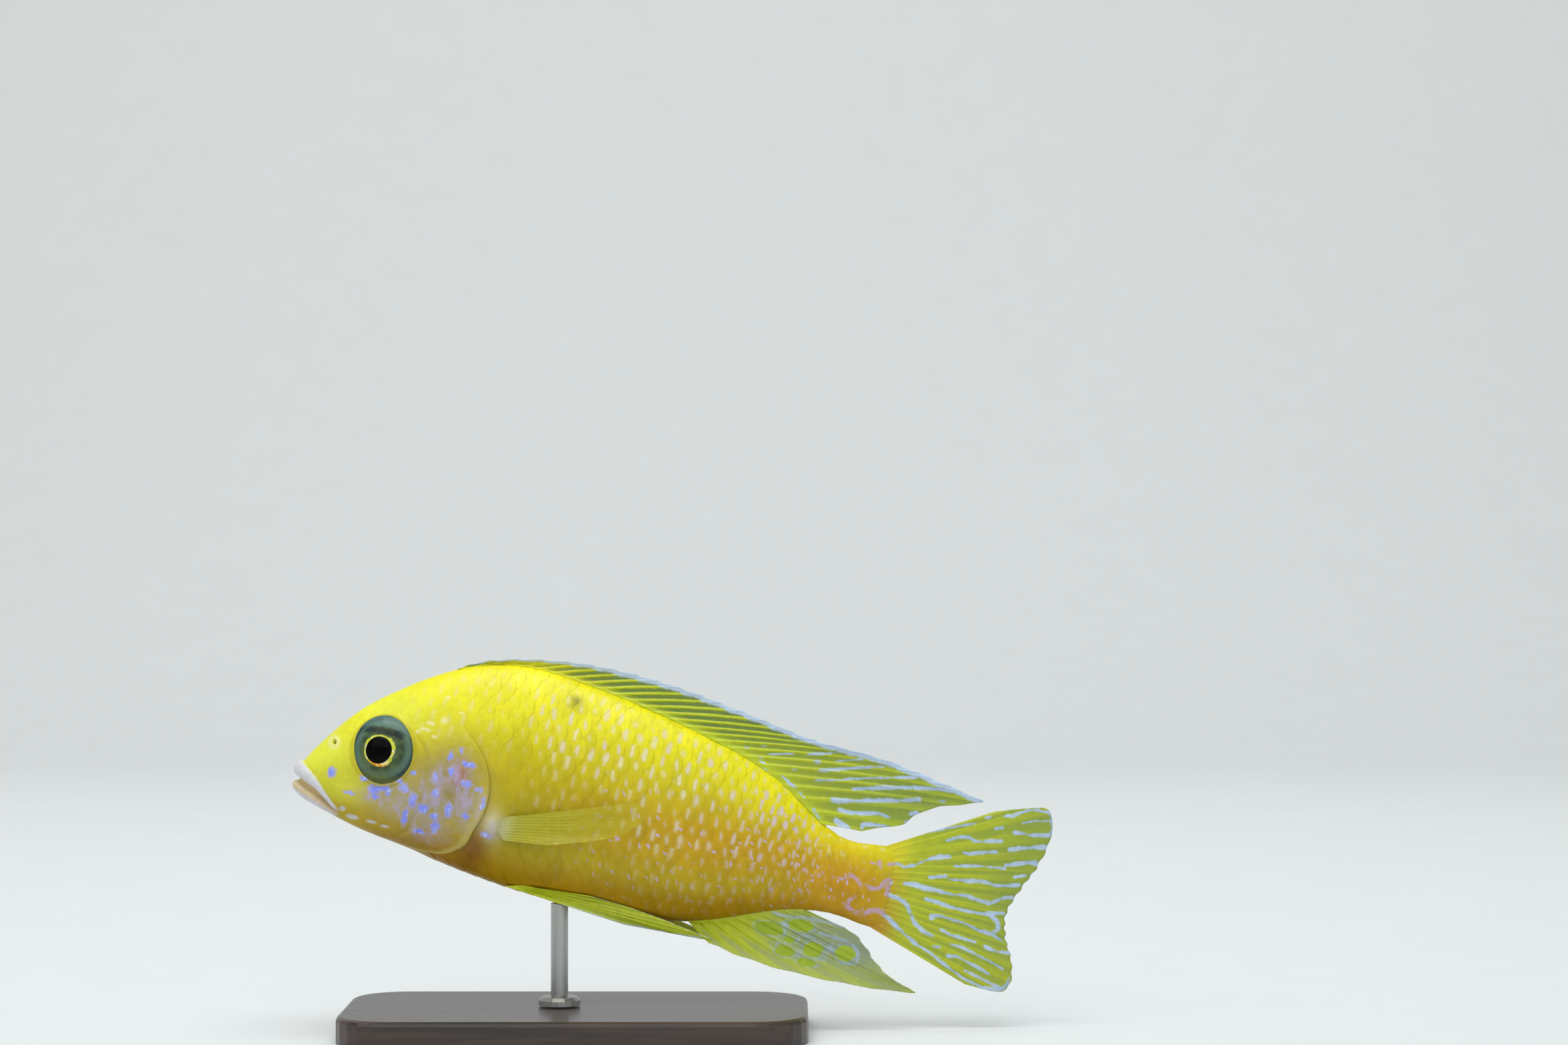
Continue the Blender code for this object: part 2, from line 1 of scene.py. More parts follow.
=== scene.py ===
"""Looks of the peacock cichlid display model: skin, scales, fins, eyes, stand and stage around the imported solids.

The fish is drawn in its own frame, in millimetres: x runs back from the tip of the snout, y points to the fish's
right and z is up. posed() carries it to its pitch and its height over the stand, in metres.
"""

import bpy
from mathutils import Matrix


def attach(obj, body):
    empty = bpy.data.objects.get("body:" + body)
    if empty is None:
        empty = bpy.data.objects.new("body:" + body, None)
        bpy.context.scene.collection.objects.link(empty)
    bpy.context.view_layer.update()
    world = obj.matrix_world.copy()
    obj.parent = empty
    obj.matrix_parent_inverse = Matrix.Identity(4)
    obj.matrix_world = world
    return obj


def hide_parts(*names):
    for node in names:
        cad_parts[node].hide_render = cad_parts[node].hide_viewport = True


bl_info = {
    "name": "Peacock Cichlid Display Model",
    "version": (1, 0, 0),
    "blender": (4, 5, 0),
    "location": "View3D > Sidebar > Cichlid",
    "description": "Builds the skin, scales, fins, eyes and stand of a life-size peacock cichlid",
    "category": "Object",
}

import math

import bmesh
import bpy
import numpy as np
from mathutils import Vector

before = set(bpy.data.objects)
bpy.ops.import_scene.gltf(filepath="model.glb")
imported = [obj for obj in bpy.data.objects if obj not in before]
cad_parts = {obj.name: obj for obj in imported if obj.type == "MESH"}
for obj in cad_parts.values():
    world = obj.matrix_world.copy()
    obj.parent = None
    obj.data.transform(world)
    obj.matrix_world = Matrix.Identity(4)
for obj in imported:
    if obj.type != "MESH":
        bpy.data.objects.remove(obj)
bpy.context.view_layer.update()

MM = 0.001
PITCH = math.radians(11.5)
SNOUT_AT = (-65.4, 0.0, 44.15)

# The body, in mm: distance from the snout, back line, belly line, half width, superellipse power of the lower half.
STATIONS = (
    (0.3, 1.9, -1.6, 1.7, 2.6),
    (1.5, 4.2, -2.5, 2.9, 2.9),
    (4.0, 7.9, -3.9, 4.1, 3.1),
    (8.6, 13.6, -5.6, 5.3, 3.1),
    (14.0, 17.9, -7.0, 6.4, 2.8),
    (20.0, 21.9, -8.0, 7.4, 2.5),
    (27.0, 25.2, -9.5, 8.1, 2.2),
    (36.0, 26.7, -11.1, 8.5, 2.1),
    (46.0, 25.7, -12.2, 8.6, 2.05),
    (58.0, 23.5, -12.3, 8.0, 2.0),
    (68.0, 21.0, -11.8, 6.6, 1.95),
    (76.0, 18.6, -9.9, 5.2, 1.95),
    (83.0, 15.5, -7.3, 4.1, 1.95),
    (89.0, 11.2, -5.5, 3.2, 1.95),
    (95.0, 8.3, -5.0, 2.5, 2.0),
    (101.0, 8.5, -6.0, 1.2, 2.0),
)
GIRTH_HEIGHT = 0.44
BACK_POWER = 1.85
BODY_END = 101.0
SKIN_END = 104.5  # where the skin runs out over the root of the tail fin
TAIL_SWING = 4.0
SWING_FROM = 42.0
SWING_TO = 130.0

# The gill cover's edge: share of the body's depth, distance from the snout.
GILL_EDGE = (
    (0.00, 20.0),
    (0.04, 26.5),
    (0.10, 30.2),
    (0.22, 32.4),
    (0.36, 33.7),
    (0.48, 33.2),
    (0.58, 31.2),
    (0.68, 27.8),
    (0.85, 25.2),
    (1.00, 24.0),
)
GILL_FLARE = 0.06
GILL_TOP = (0.6, 0.76)
GILL_LIP = 0.32  # thickness of the gill cover's free edge
CHEEK_FOLD_AT = 0.68
CHEEK_FOLD_DEPTH = 0.22

# The middle of the open mouth, seen from the side, and half its opening: x, z, half opening.
MOUTH = (
    (-3.0, 0.5, 0.5),
    (0.3, -0.1, 0.62),
    (2.0, -0.8, 0.66),
    (4.4, -1.75, 0.6),
    (6.4, -2.9, 0.38),
    (8.4, -4.1, 0.08),
    (12.0, -5.0, 0.05),
)
MOUTH_CORNER = (7.7, 9.3)  # between these the mouth and the lips fade out
MOUTH_DEPTH = 0.8
# Lips: x, width of the upper, width of the lower, how far each stands proud.
LIPS = (
    (0.0, 3.0, 1.7, 0.8, 0.65),
    (2.0, 2.5, 1.7, 0.75, 0.6),
    (4.4, 1.7, 1.4, 0.55, 0.5),
    (6.4, 1.1, 1.1, 0.42, 0.4),
    (8.4, 0.8, 0.8, 0.3, 0.25),
    (12.0, 0.8, 0.6, 0.2, 0.2),
)

EYE_AT = (14.5, 8.1)
EYE_RADIUS = 6.4
EYE_HALF_DEPTH = 2.9
EYE_SUNK = 1.75
EYE_SEEN = 5.25  # radius of the eye inside its rim
RIM_AROUND = 144  # points round the eye's rim and round its section
RIM_SECTION = 12
PUPIL_OFF = (-0.45, -0.35)  # the pupil's middle from the eye's, back and up
NOSTRIL_AT = (5.7, 7.4)
NOSTRIL_RADIUS = 0.42

# Pores of the lateral line on the jaw and round the cheek: x, z, half length, half height, in mm.
PORES = (
    (9.5, -3.4, 0.56, 0.5),
    (11.4, -4.5, 1.15, 0.5),
    (14.8, -4.6, 1.0, 0.3),
    (17.2, -4.9, 0.8, 0.28),
)

# Lilac spots of the cheek and gill cover: x, z, half length, half height, in mm.
LILAC_SPOTS = (
    (12.3, 2.5, 0.8, 0.4), (14.3, 1.1, 1.0, 0.7), (16.2, 1.6, 1.1, 0.4), (14.7, -0.1, 0.6, 0.4),
    (16.8, 0.9, 0.5, 0.25), (18.5, 3.3, 0.7, 0.33), (19.3, 2.4, 0.8, 0.7), (20.4, 5.3, 0.6, 0.25),
    (24.1, 6.0, 0.33, 0.33), (24.4, 4.9, 0.42, 0.6), (24.8, 2.7, 0.6, 0.67), (21.2, 0.7, 0.6, 1.3),
    (23.3, -0.4, 0.78, 0.78), (25.3, -1.2, 0.6, 0.5), (27.5, 0.3, 0.56, 1.2), (25.9, -3.0, 0.67, 1.25),
    (23.2, -4.4, 0.78, 0.4), (20.4, -2.6, 0.5, 1.5), (26.8, 6.8, 0.56, 0.6), (29.5, 8.6, 1.25, 0.45),
    (29.8, 5.3, 1.06, 0.56), (32.0, 4.8, 0.78, 0.4), (26.1, 9.4, 0.36, 0.95), (27.8, 10.7, 0.4, 0.56),
    (30.6, -0.1, 0.78, 0.45), (33.2, 2.6, 0.33, 1.0), (34.6, -2.5, 0.9, 0.45), (6.5, 2.4, 0.75, 0.75),
    (10.2, -0.4, 0.9, 0.28),
)
# Pinkish lilac haze of the cheek and gill cover: x, z, reach in x, reach in z, in mm.
BLUSH = (
    (19.5, 0.0, 4.5, 2.8), (24.5, 1.0, 3.8, 5.0), (27.5, 6.0, 3.0, 3.5), (30.5, 2.0, 2.6, 4.5),
    (14.5, -0.2, 3.0, 1.6), (25.0, -4.0, 3.5, 2.0), (35.4, -1.6, 1.2, 1.6),
)
# Pale spots over the gill cover and on the tail stalk: x, z, half length, half height, in mm.
PALE_SPOTS = (
    (22.7, 12.0, 0.67, 0.33), (23.8, 15.0, 0.72, 0.72), (21.6, 14.1, 0.9, 0.45), (23.6, 18.8, 0.45, 0.33),
    (26.2, 16.8, 0.4, 0.33), (28.9, 15.1, 0.9, 0.22), (19.7, 12.2, 0.4, 0.33), (21.0, 12.9, 1.2, 0.35),
    (90.2, 8.3, 0.35, 0.35), (92.3, 8.2, 0.4, 0.4), (94.2, 7.9, 0.45, 0.45), (90.3, 6.0, 0.4, 0.45),
    (92.6, 6.0, 0.5, 0.55), (98.8, 7.4, 0.6, 0.45), (95.0, 5.6, 0.5, 0.55), (97.4, 5.2, 0.35, 0.35),
    (100.6, 8.0, 0.35, 0.35), (101.9, 7.7, 0.45, 0.4), (96.6, 7.2, 0.35, 0.35),
)

# Lilac lines drawn over the tail's root and the fins: half width, then the places x, z that each runs through, in
# mm.
TAIL_LINES = (
    (0.3, 102.6, 9.3, 107.5, 11.6, 111.9, 13.4, 116.9, 15.3), (0.3, 118.2, 16.5, 119.3, 16.9),
    (0.28, 121.3, 17.4, 123.0, 17.8, 124.5, 18.8, 126.3, 19.5, 129.3, 19.5, 129.9, 17.7, 130.1, 15.6),
    (0.42, 120.2, 14.9, 121.6, 15.4),
    (0.36, 112.4, 11.3, 114.3, 12.3, 116.0, 12.7, 117.3, 12.1, 119.0, 12.5, 121.9, 13.2),
    (0.28, 124.7, 16.8, 126.4, 17.5, 129.2, 18.1),
    (0.4, 123.7, 15.0, 125.1, 15.1, 127.1, 15.2, 129.9, 15.6),
    (0.38, 105.8, 5.3, 108.0, 6.2, 109.3, 7.2, 111.8, 8.4, 113.5, 8.7),
    (0.36, 115.6, 9.9, 116.7, 9.8, 118.8, 10.5, 121.3, 11.0),
    (0.36, 123.5, 11.9, 125.3, 12.5, 127.6, 13.1, 130.0, 13.6),
    (0.3, 114.6, 7.2, 116.7, 7.7, 119.6, 8.2, 123.3, 8.5),
    (0.4, 123.3, 9.1, 125.5, 9.8, 128.4, 10.6, 128.6, 10.1), (0.34, 110.8, 4.5, 112.2, 4.9, 113.7, 5.3),
    (0.36, 114.3, 4.8, 117.2, 5.2, 120.1, 5.6, 122.3, 5.3, 126.4, 6.1),
    (0.38, 106.5, 2.6, 108.1, 2.8, 110.2, 2.6, 113.0, 2.5, 115.7, 2.4, 117.7, 2.7, 119.6, 2.3, 122.0, 2.1,
     124.4, 3.6, 125.7, 3.8),
    (0.34, 110.8, 0.7, 112.8, 0.6, 115.5, 0.1, 118.3, 0.0, 121.2, 0.1, 124.8, 0.9),
    (0.36, 122.6, 0.0, 123.9, -0.7, 124.4, -2.0, 123.6, -2.8),
    (0.36, 112.6, -2.5, 112.4, -1.9, 113.8, -1.7, 116.3, -1.9, 118.7, -2.2, 121.0, -2.9, 123.4, -3.1, 125.3,
     -3.9),
    (0.42, 104.6, 0.1, 106.3, -0.1, 107.8, -0.9, 108.9, -2.5, 110.1, -4.0, 111.8, -5.0, 113.4, -5.3),
    (0.3, 114.4, -4.0, 116.5, -4.6, 118.6, -4.7, 120.8, -5.0),
    (0.36, 122.6, -5.4, 124.5, -5.9, 127.4, -5.7),
    (0.46, 100.8, -3.8, 102.1, -2.9, 103.3, -2.8, 104.9, -3.6, 106.6, -4.7, 108.4, -5.9, 110.8, -7.3),
    (0.28, 110.8, -7.3, 113.7, -8.4, 116.7, -10.0, 120.0, -11.6, 123.5, -12.5, 127.0, -12.3),
    (0.4, 113.9, -7.1, 114.8, -6.9),
    (0.34, 116.5, -8.2, 118.1, -8.0, 120.0, -8.6, 121.9, -9.1, 124.3, -10.0),
    (0.26, 116.2, -6.1, 118.6, -6.3, 121.2, -7.0, 124.0, -7.8, 126.6, -8.7),
    (0.26, 119.9, -10.1, 121.9, -10.7, 124.8, -11.5, 127.0, -12.0),
    (0.5, 127.0, -12.1, 127.9, -11.2, 128.0, -9.8), (0.26, 125.3, 7.4, 127.2, 8.1),
    (0.3, 94.0, 1.5, 95.8, 1.5, 96.8, 1.3),
    (0.34, 96.9, 2.6, 98.3, 2.0, 99.3, 0.9, 100.7, 1.0, 101.7, 0.7, 102.9, 1.4, 103.2, 2.4, 104.2, 2.9),
    (0.36, 104.4, 2.6, 104.1, 1.3, 104.2, 0.0), (0.26, 100.0, 5.0, 101.3, 5.3),
    (0.3, 101.7, 5.6, 102.1, 4.5), (0.34, 103.4, 5.4, 105.1, 5.8, 106.2, 5.4),
    (0.3, 93.2, -2.1, 95.3, -1.9), (0.36, 98.8, -1.2, 97.8, -1.9, 97.5, -3.0, 99.3, -3.8, 101.1, -3.8),
    (0.3, 88.2, -2.5, 89.2, -1.6), (0.3, 83.8, -2.9, 84.9, -1.8), (0.3, 91.0, 0.6, 92.0, 1.4, 92.4, 2.4),
    (0.3, 88.4, 1.2, 89.6, 2.2),
)
DORSAL_LINES = (
    (0.22, 90.8, 21.0, 93.3, 21.8, 95.7, 22.5), (0.4, 87.2, 20.3, 88.1, 20.4),
    (0.4, 88.3, 18.9, 89.4, 19.2), (0.3, 90.2, 19.4, 95.0, 20.8, 99.1, 21.8),
    (0.38, 88.1, 17.2, 89.8, 17.5), (0.24, 90.0, 17.5, 93.6, 18.5, 98.9, 19.8, 105.5, 21.2),
    (0.36, 94.6, 16.9, 99.2, 18.1, 104.6, 19.2, 108.3, 19.8, 112.7, 20.1, 116.9, 19.4),
    (0.46, 91.4, 14.4, 92.5, 14.4, 99.7, 15.9, 103.3, 16.6, 106.3, 17.4),
    (0.4, 93.2, 13.0, 95.1, 12.9, 100.1, 13.7, 101.9, 13.4), (0.4, 105.2, 14.7, 106.4, 15.2),
    (0.45, 92.9, 11.0, 94.3, 10.4, 95.2, 10.1),
    (0.36, 97.6, 10.6, 97.4, 11.2, 98.7, 11.6, 100.9, 11.8, 102.3, 11.7), (0.36, 109.6, 17.8, 110.7, 17.9),
    (0.34, 82.1, 17.0, 83.2, 15.9, 85.3, 15.2, 86.7, 14.0), (0.45, 88.8, 12.2, 89.9, 10.9),
    (0.34, 77.8, 19.1, 79.3, 17.4), (0.2, 79.4, 20.0, 83.7, 21.0),
    (0.22, 85.5, 21.2, 89.1, 22.1, 90.8, 22.7), (0.3, 83.9, 18.2, 84.7, 18.5),
    (0.26, 74.7, 20.3, 75.6, 20.4), (0.26, 77.7, 21.1, 78.5, 21.2), (0.3, 74.5, 19.5, 75.0, 19.1),
    (0.36, 104.7, 13.2, 105.4, 13.4),
)
PELVIC_LINES = (
    (0.22, 42.0, -11.4, 50.0, -12.25, 61.0, -13.25, 67.5, -13.35, 74.5, -13.05),
)
ANAL_LINES = (
    (0.3, 84.8, -6.4, 86.1, -6.8, 88.5, -6.8, 90.8, -6.4), (0.32, 90.8, -6.4, 92.8, -6.4, 94.6, -6.4),
    (0.22, 94.6, -6.4, 96.2, -6.6, 97.7, -6.8), (0.3, 87.3, -8.0, 88.2, -8.5),
    (0.32, 93.9, -8.5, 95.7, -8.7, 97.6, -8.9, 99.1, -9.1), (0.36, 95.2, -10.0, 96.1, -11.2, 96.1, -12.6),
    (0.42, 90.6, -10.0, 90.7, -11.5, 91.2, -13.1), (0.44, 96.4, -10.1, 96.6, -11.1),
    (0.36, 99.9, -9.3, 101.3, -10.6, 101.4, -12.2), (0.26, 98.3, -12.8, 99.9, -12.9, 101.0, -12.6),
    (0.36, 86.0, -11.6, 86.1, -12.8), (0.26, 86.5, -11.8, 87.6, -11.4),
    (0.3, 90.8, -9.6, 92.6, -9.5, 93.8, -9.7), (0.3, 87.8, -9.3, 88.2, -9.9),
    (0.26, 94.5, -13.1, 95.8, -13.0),
)


def srgb(red, green, blue):
    """A colour given as a painter reads it off a screen, 0 to 255, in the linear values that shaders take."""
    values = np.array([red, green, blue]) / 255
    return tuple(np.where(values <= 0.04045, values / 12.92, ((values + 0.055) / 1.055) ** 2.4))


def paint(name):
    """A colour of the add-on's settings."""
    return tuple(getattr(bpy.context.scene.cichlid_colours, name))


def size(name):
    """A size of the add-on's settings, in mm."""
    return getattr(bpy.context.scene.cichlid_sizes, name) / MM


# Trunk colours up the side: share of the body's depth, colour.
# Towards the belly the tones darken: partly the fish's own colour, partly painted shade of the light from above.
SIDE_COLOURS = (
    (0.0, "belly"),
    (0.1, "belly"),
    (0.24, "side"),
    (0.5, "side"),
    (0.68, "flank"),
    (0.85, "back"),
    (1.0, "back"),
)
# Washes laid over them in turn: x, z, reach in x, reach in z, colour, strength.
WASHES = (
    (4.0, 5.0, 8.0, 6.0, "brow", 0.95),
    (14.0, 15.5, 9.0, 4.5, "brow", 0.8),
    (27.0, 20.0, 12.0, 6.0, "back", 0.9),
    (19.0, 0.5, 9.0, 5.0, "cheek", 0.9),
    (27.0, 4.5, 5.5, 7.0, "gill_cover", 0.75),
    (9.0, 0.5, 4.0, 3.0, "brow", 0.5),
    (10.0, -5.2, 9.0, 1.5, "side", 0.7),
    # The throat and belly washes are partly the fish's own colour and partly painted shade of the light from above.
    (13.0, -8.5, 16.0, 2.8, "throat", 0.9),
    (26.0, -9.5, 9.0, 4.0, "throat", 0.7),
    (40.0, 0.0, 7.0, 6.0, "shoulder", 0.75),
    (55.0, -10.0, 30.0, 3.0, "belly", 0.5),
    (68.0, 3.0, 20.0, 7.0, "stalk", 0.55),
    (96.0, 0.5, 9.0, 6.5, "stalk", 0.85),
    (98.0, -3.0, 8.0, 3.5, "belly", 0.35),
    (80.0, 4.0, 12.0, 4.0, "stalk", 0.4),
    (35.4, -1.0, 1.5, 2.6, "fin_base", 0.75),
    (28.3, 6.6, 1.2, 1.9, "gill_red", 0.75),
    (45.0, 22.4, 0.95, 0.95, "back_spot", 0.9),
)
# Washes of the trunk alone: painted shade behind and under the gill cover.
TRUNK_WASHES = ((32.8, -5.5, 2.6, 4.2, "gill_shade", 0.9), (28.0, -9.0, 5.0, 2.0, "breast_shade", 0.5))


def curve_through(knots):
    """A smooth function through (x, value, ...) knots, with the slope of the two neighbours at each knot."""
    table = np.array(knots, float)
    xs, values = table[:, 0], table[:, 1:]
    slopes = np.gradient(values, xs, axis=0)

    def at(x):
        x = np.clip(np.asarray(x, float), xs[0], xs[-1])
        i = np.clip(np.searchsorted(xs, x, side="right") - 1, 0, len(xs) - 2)
        step = xs[i + 1] - xs[i]
        t = ((x - xs[i]) / step)[..., None]
        step = step[..., None]
        return (
            values[i] * (1 + 2 * t) * (1 - t) ** 2
            + values[i + 1] * t * t * (3 - 2 * t)
            + slopes[i] * step * t * (1 - t) ** 2
            + slopes[i + 1] * step * t * t * (t - 1)
        )

    return at


def faired_lines():
    """The body's lines with the small breaks of curvature at the stations smoothed out, as a function of x."""
    raw = curve_through(STATIONS)
    xs = np.arange(STATIONS[0][0], BODY_END + 0.01, 0.25)
    spread = np.clip(0.2 * (xs - xs[0]), 0.05, 1.6)
    spread = np.minimum(spread, 0.05 + 0.4 * (xs[-1] - xs))
    weights = np.exp(-0.5 * ((xs[None] - xs[:, None]) / spread[:, None]) ** 2)
    weights /= weights.sum(axis=1)[:, None]
    smooth = weights @ raw(xs)

    def at(x):
        x = np.asarray(x, float)
        return np.stack([np.interp(x, xs, smooth[:, k]) for k in range(smooth.shape[1])], axis=-1)

    return at


body_lines = faired_lines()
gill_edge = curve_through(GILL_EDGE)
mouth_at = curve_through(MOUTH)
lips_at = curve_through(LIPS)


def smooth_step(value, low, high):
    t = np.clip((value - low) / (high - low), 0, 1)
    return t * t * (3 - 2 * t)


def height_share(theta, belly_power):
    """Share of the body's depth at which the angle theta, from 0 at the back to pi at the belly, meets the skin."""
    c = np.cos(theta)
    above = GIRTH_HEIGHT + (1 - GIRTH_HEIGHT) * np.abs(c) ** (2 / BACK_POWER)
    below = GIRTH_HEIGHT - GIRTH_HEIGHT * np.abs(c) ** (2 / belly_power)
    return np.where(c > 0, above, below)


def body_point(x, theta, depth=0.0):
    """The point of the body at distance x and angle theta, a depth in mm under the solids' surface."""
    x, theta = np.broadcast_arrays(np.asarray(x, float), theta)
    back, belly, half, belly_power = np.moveaxis(body_lines(x), -1, 0)
    s = np.sin(theta)
    power = np.where(np.cos(theta) > 0, BACK_POWER, belly_power)
    y = (half - depth) * np.sign(s) * np.abs(s) ** (2 / power)
    z = belly + depth + (back - belly - 2 * depth) * height_share(theta, belly_power)
    return np.stack([x, y, z], axis=-1)


def half_width(x, z):
    """Half width of the body at distance x and height z, and 0 past its back or belly."""
    back, belly, half, belly_power = np.moveaxis(body_lines(x), -1, 0)
    middle = belly + (back - belly) * GIRTH_HEIGHT
    up = z > middle
    reach = np.where(up, (z - middle) / (back - middle), (middle - z) / (middle - belly))
    power = np.where(up, BACK_POWER, belly_power)
    return half * np.clip(1 - np.clip(reach, 0, 1) ** power, 0, 1) ** (1 / power)


def swing(x):
    """Sideways drift of the body at distance x."""
    t = np.clip((x - SWING_FROM) / (SWING_TO - SWING_FROM), 0, 1)
    return TAIL_SWING * t * t


def posed(points):
    """Points of the fish's frame, in mm, at their place over the floor, in metres."""
    x, y, z = np.moveaxis(np.asarray(points, float), -1, 0)
    c, s = math.cos(PITCH), math.sin(PITCH)
    turned = np.stack([x * c + z * s, y + swing(x), z * c - x * s], axis=-1)
    return (turned + SNOUT_AT) * MM


def depth_share(points):
    """Share of the body's depth at which points of the fish's frame lie."""
    back, belly = np.moveaxis(body_lines(points[..., 0])[..., :2], -1, 0)
    return (points[..., 2] - belly) / (back - belly)


def eye_frame():
    """The middle of the right eyeball and the directions back, up and out of its disc, which lies along the skin."""
    x, z = EYE_AT
    reach = 3.0
    surface = np.array([x, float(half_width(x, z)), z])
    back = np.array([2 * reach, float(half_width(x + reach, z) - half_width(x - reach, z)), 0])
    up = np.array([0, float(half_width(x, z + reach) - half_width(x, z - reach)), 2 * reach])
    out = np.cross(up, back)
    out /= np.linalg.norm(out)
    back /= np.linalg.norm(back)
    up = np.cross(back, out)
    return surface - out * EYE_SUNK, back, up, out


def eye_local(points):
    """Places of points relative to the eye of their own side, along its directions back, up and out."""
    middle, back, up, out = eye_frame()
    mirrored = np.array(points)
    mirrored[..., 1] = np.abs(mirrored[..., 1])
    away = mirrored - middle
    return np.stack([away @ back, away @ up, away @ out], axis=-1)


def painted(points, trunk=1.0):
    """The ground colour of the skin at points of the fish's frame; trunk is 0 on the head and 1 behind its covers."""
    share = np.clip(depth_share(points), 0, 1)
    stops = np.array([stop for stop, _ in SIDE_COLOURS])
    colours = np.array([paint(name) for _, name in SIDE_COLOURS])
    colour = np.stack([np.interp(share, stops, colours[:, k]) for k in range(3)], axis=-1)
    colour = washed(points, colour, WASHES)
    behind = washed(points, colour, TRUNK_WASHES)
    return colour + (behind - colour) * (np.reshape(trunk, (-1, 1)) if np.ndim(trunk) else trunk)


def washed(points, colour, washes):
    """Colours with soft oval washes of other colours laid over them in turn."""
    x, z = points[..., 0], points[..., 2]
    for at_x, at_z, reach_x, reach_z, name, strength in washes:
        near = np.exp(-(((x - at_x) / reach_x) ** 2) - ((z - at_z) / reach_z) ** 2) * strength
        colour = colour + (np.array(paint(name)) - colour) * near[..., None]
    return colour


def reached(points, table):
    """The strongest of a table of soft oval patches at points of the fish's frame: x, z, reach in x, reach in z."""
    x, z = points[..., 0], points[..., 2]
    best = np.zeros(x.shape)
    for at_x, at_z, reach_x, reach_z in table:
        best = np.maximum(best, np.exp(-(((x - at_x) / reach_x) ** 2) - ((z - at_z) / reach_z) ** 2))
    return best


def spots(points, table, softness=0.35):
    """How far points lie within the nearest of a table of uneven oval spots, from 0 outside to 1 well inside."""
    x, z = points[..., 0], points[..., 2]
    x, z = (
        x + 0.14 * np.sin(4.1 * z + 2.3 * x) + 0.02 * np.sin(9.7 * z - 6.1 * x),
        z + 0.14 * np.sin(4.7 * x - 1.9 * z) + 0.02 * np.sin(8.9 * x + 7.3 * z),
    )
    best = np.zeros(x.shape)
    for at_x, at_z, half_length, half_height in table:
        away = np.hypot((x - at_x) / half_length, (z - at_z) / half_height)
        best = np.maximum(best, 1 - smooth_step(away, 1 - softness, 1 + softness))
    return best


def line_distance(points, path):
    """Distance of points, seen from the side, from a broken line through the places x, z."""
    x, z = points[..., 0], points[..., 2]
    best = np.full(x.shape, 99.0)
    for (x0, z0), (x1, z1) in zip(path, path[1:]):
        run_x, run_z = x1 - x0, z1 - z0
        t = np.clip(((x - x0) * run_x + (z - z0) * run_z) / (run_x**2 + run_z**2), 0, 1)
        best = np.minimum(best, np.hypot(x - x0 - t * run_x, z - z0 - t * run_z))
    return best


def drawn(points, table):
    """How far points lie inside the nearest of a table of drawn lines, in half widths: 1 in its middle, 0 at its rim.
    """
    best = np.full(points.shape[:-1], -3.0)
    for half, *places in table:
        best = np.maximum(best, 1 - line_distance(points, np.reshape(places, (-1, 2))) / half)
    return best


# Meshes


def mesh_piece(name, points, faces, material, smooth_angle=None):
    """A finished object from points of the fish's frame and faces, smooth, with one material, at the origin."""
    mesh = bpy.data.meshes.new(name)
    mesh.from_pydata(posed(points).reshape(-1, 3).tolist(), [], faces)
    mesh.polygons.foreach_set("use_smooth", [True] * len(mesh.polygons))
    obj = bpy.data.objects.new(name, mesh)
    bpy.context.collection.objects.link(obj)
    mesh.materials.append(material)
    if smooth_angle is not None:
        mesh.set_sharp_from_angle(angle=smooth_angle)
    return obj


def store(obj, name, values, kind="FLOAT_VECTOR"):
    """Keeps one value for each vertex as a named attribute that materials read."""
    values = np.asarray(values, np.float32)
    count = len(obj.data.vertices)
    attribute = obj.data.attributes.new(name, kind, "POINT")
    if kind == "FLOAT":
        attribute.data.foreach_set("value", values.reshape(count))
    elif kind == "FLOAT_COLOR":
        full = np.concatenate([values.reshape(count, 3), np.ones((count, 1), np.float32)], axis=1)
        attribute.data.foreach_set("color", full.ravel())
    else:
        attribute.data.foreach_set("vector", values.reshape(count * 3))


def store_uv(obj, name, places):
    """Keeps a UV map from one place for each vertex."""
    layer = obj.data.uv_layers.new(name=name)
    corners = np.empty(len(obj.data.loops), np.int64)
    obj.data.loops.foreach_get("vertex_index", corners)
    layer.data.foreach_set("uv", np.asarray(places, np.float32)[corners].ravel())


def ring_faces(count, around, first=0):
    """Quads of a skin over rings of points, in order from front to back."""
    ring = np.arange(count - 1)[:, None] * around + first
    k = np.arange(around)[None]
    n = (k + 1) % around
    quads = np.stack([ring + k, ring + k + around, ring + n + around, ring + n], axis=-1)
    return quads.reshape(-1, 4).tolist()


# The skin

AROUND = 288
SNOUT_START = 0.55  # where the rings of the head begin behind the tip of the snout, in mm
SNOUT_BLUNT = 0.52  # how far the middle of the snout stands before its rim, in mm
TRUNK_START = 0.2  # where the trunk's own rings begin behind the gill cover's edge, in mm
CAP_RINGS = 12
# Rings between the snout and the gill cover's edge, closest at the lips and the eyes: from share, to share, count.
HEAD_RINGS = ((0.0, 0.3, 82), (0.3, 0.64, 82), (0.64, 1.0001, 44))
TRUNK_RINGS = 72


def gill_line(theta):
    """Distance from the snout of the gill cover's edge, and how free it stands of the body, round a section."""
    share = height_share(theta, 2.2)
    low, high = GILL_TOP
    return gill_edge(share)[:, 0], 1 - smooth_step(share, low, high)


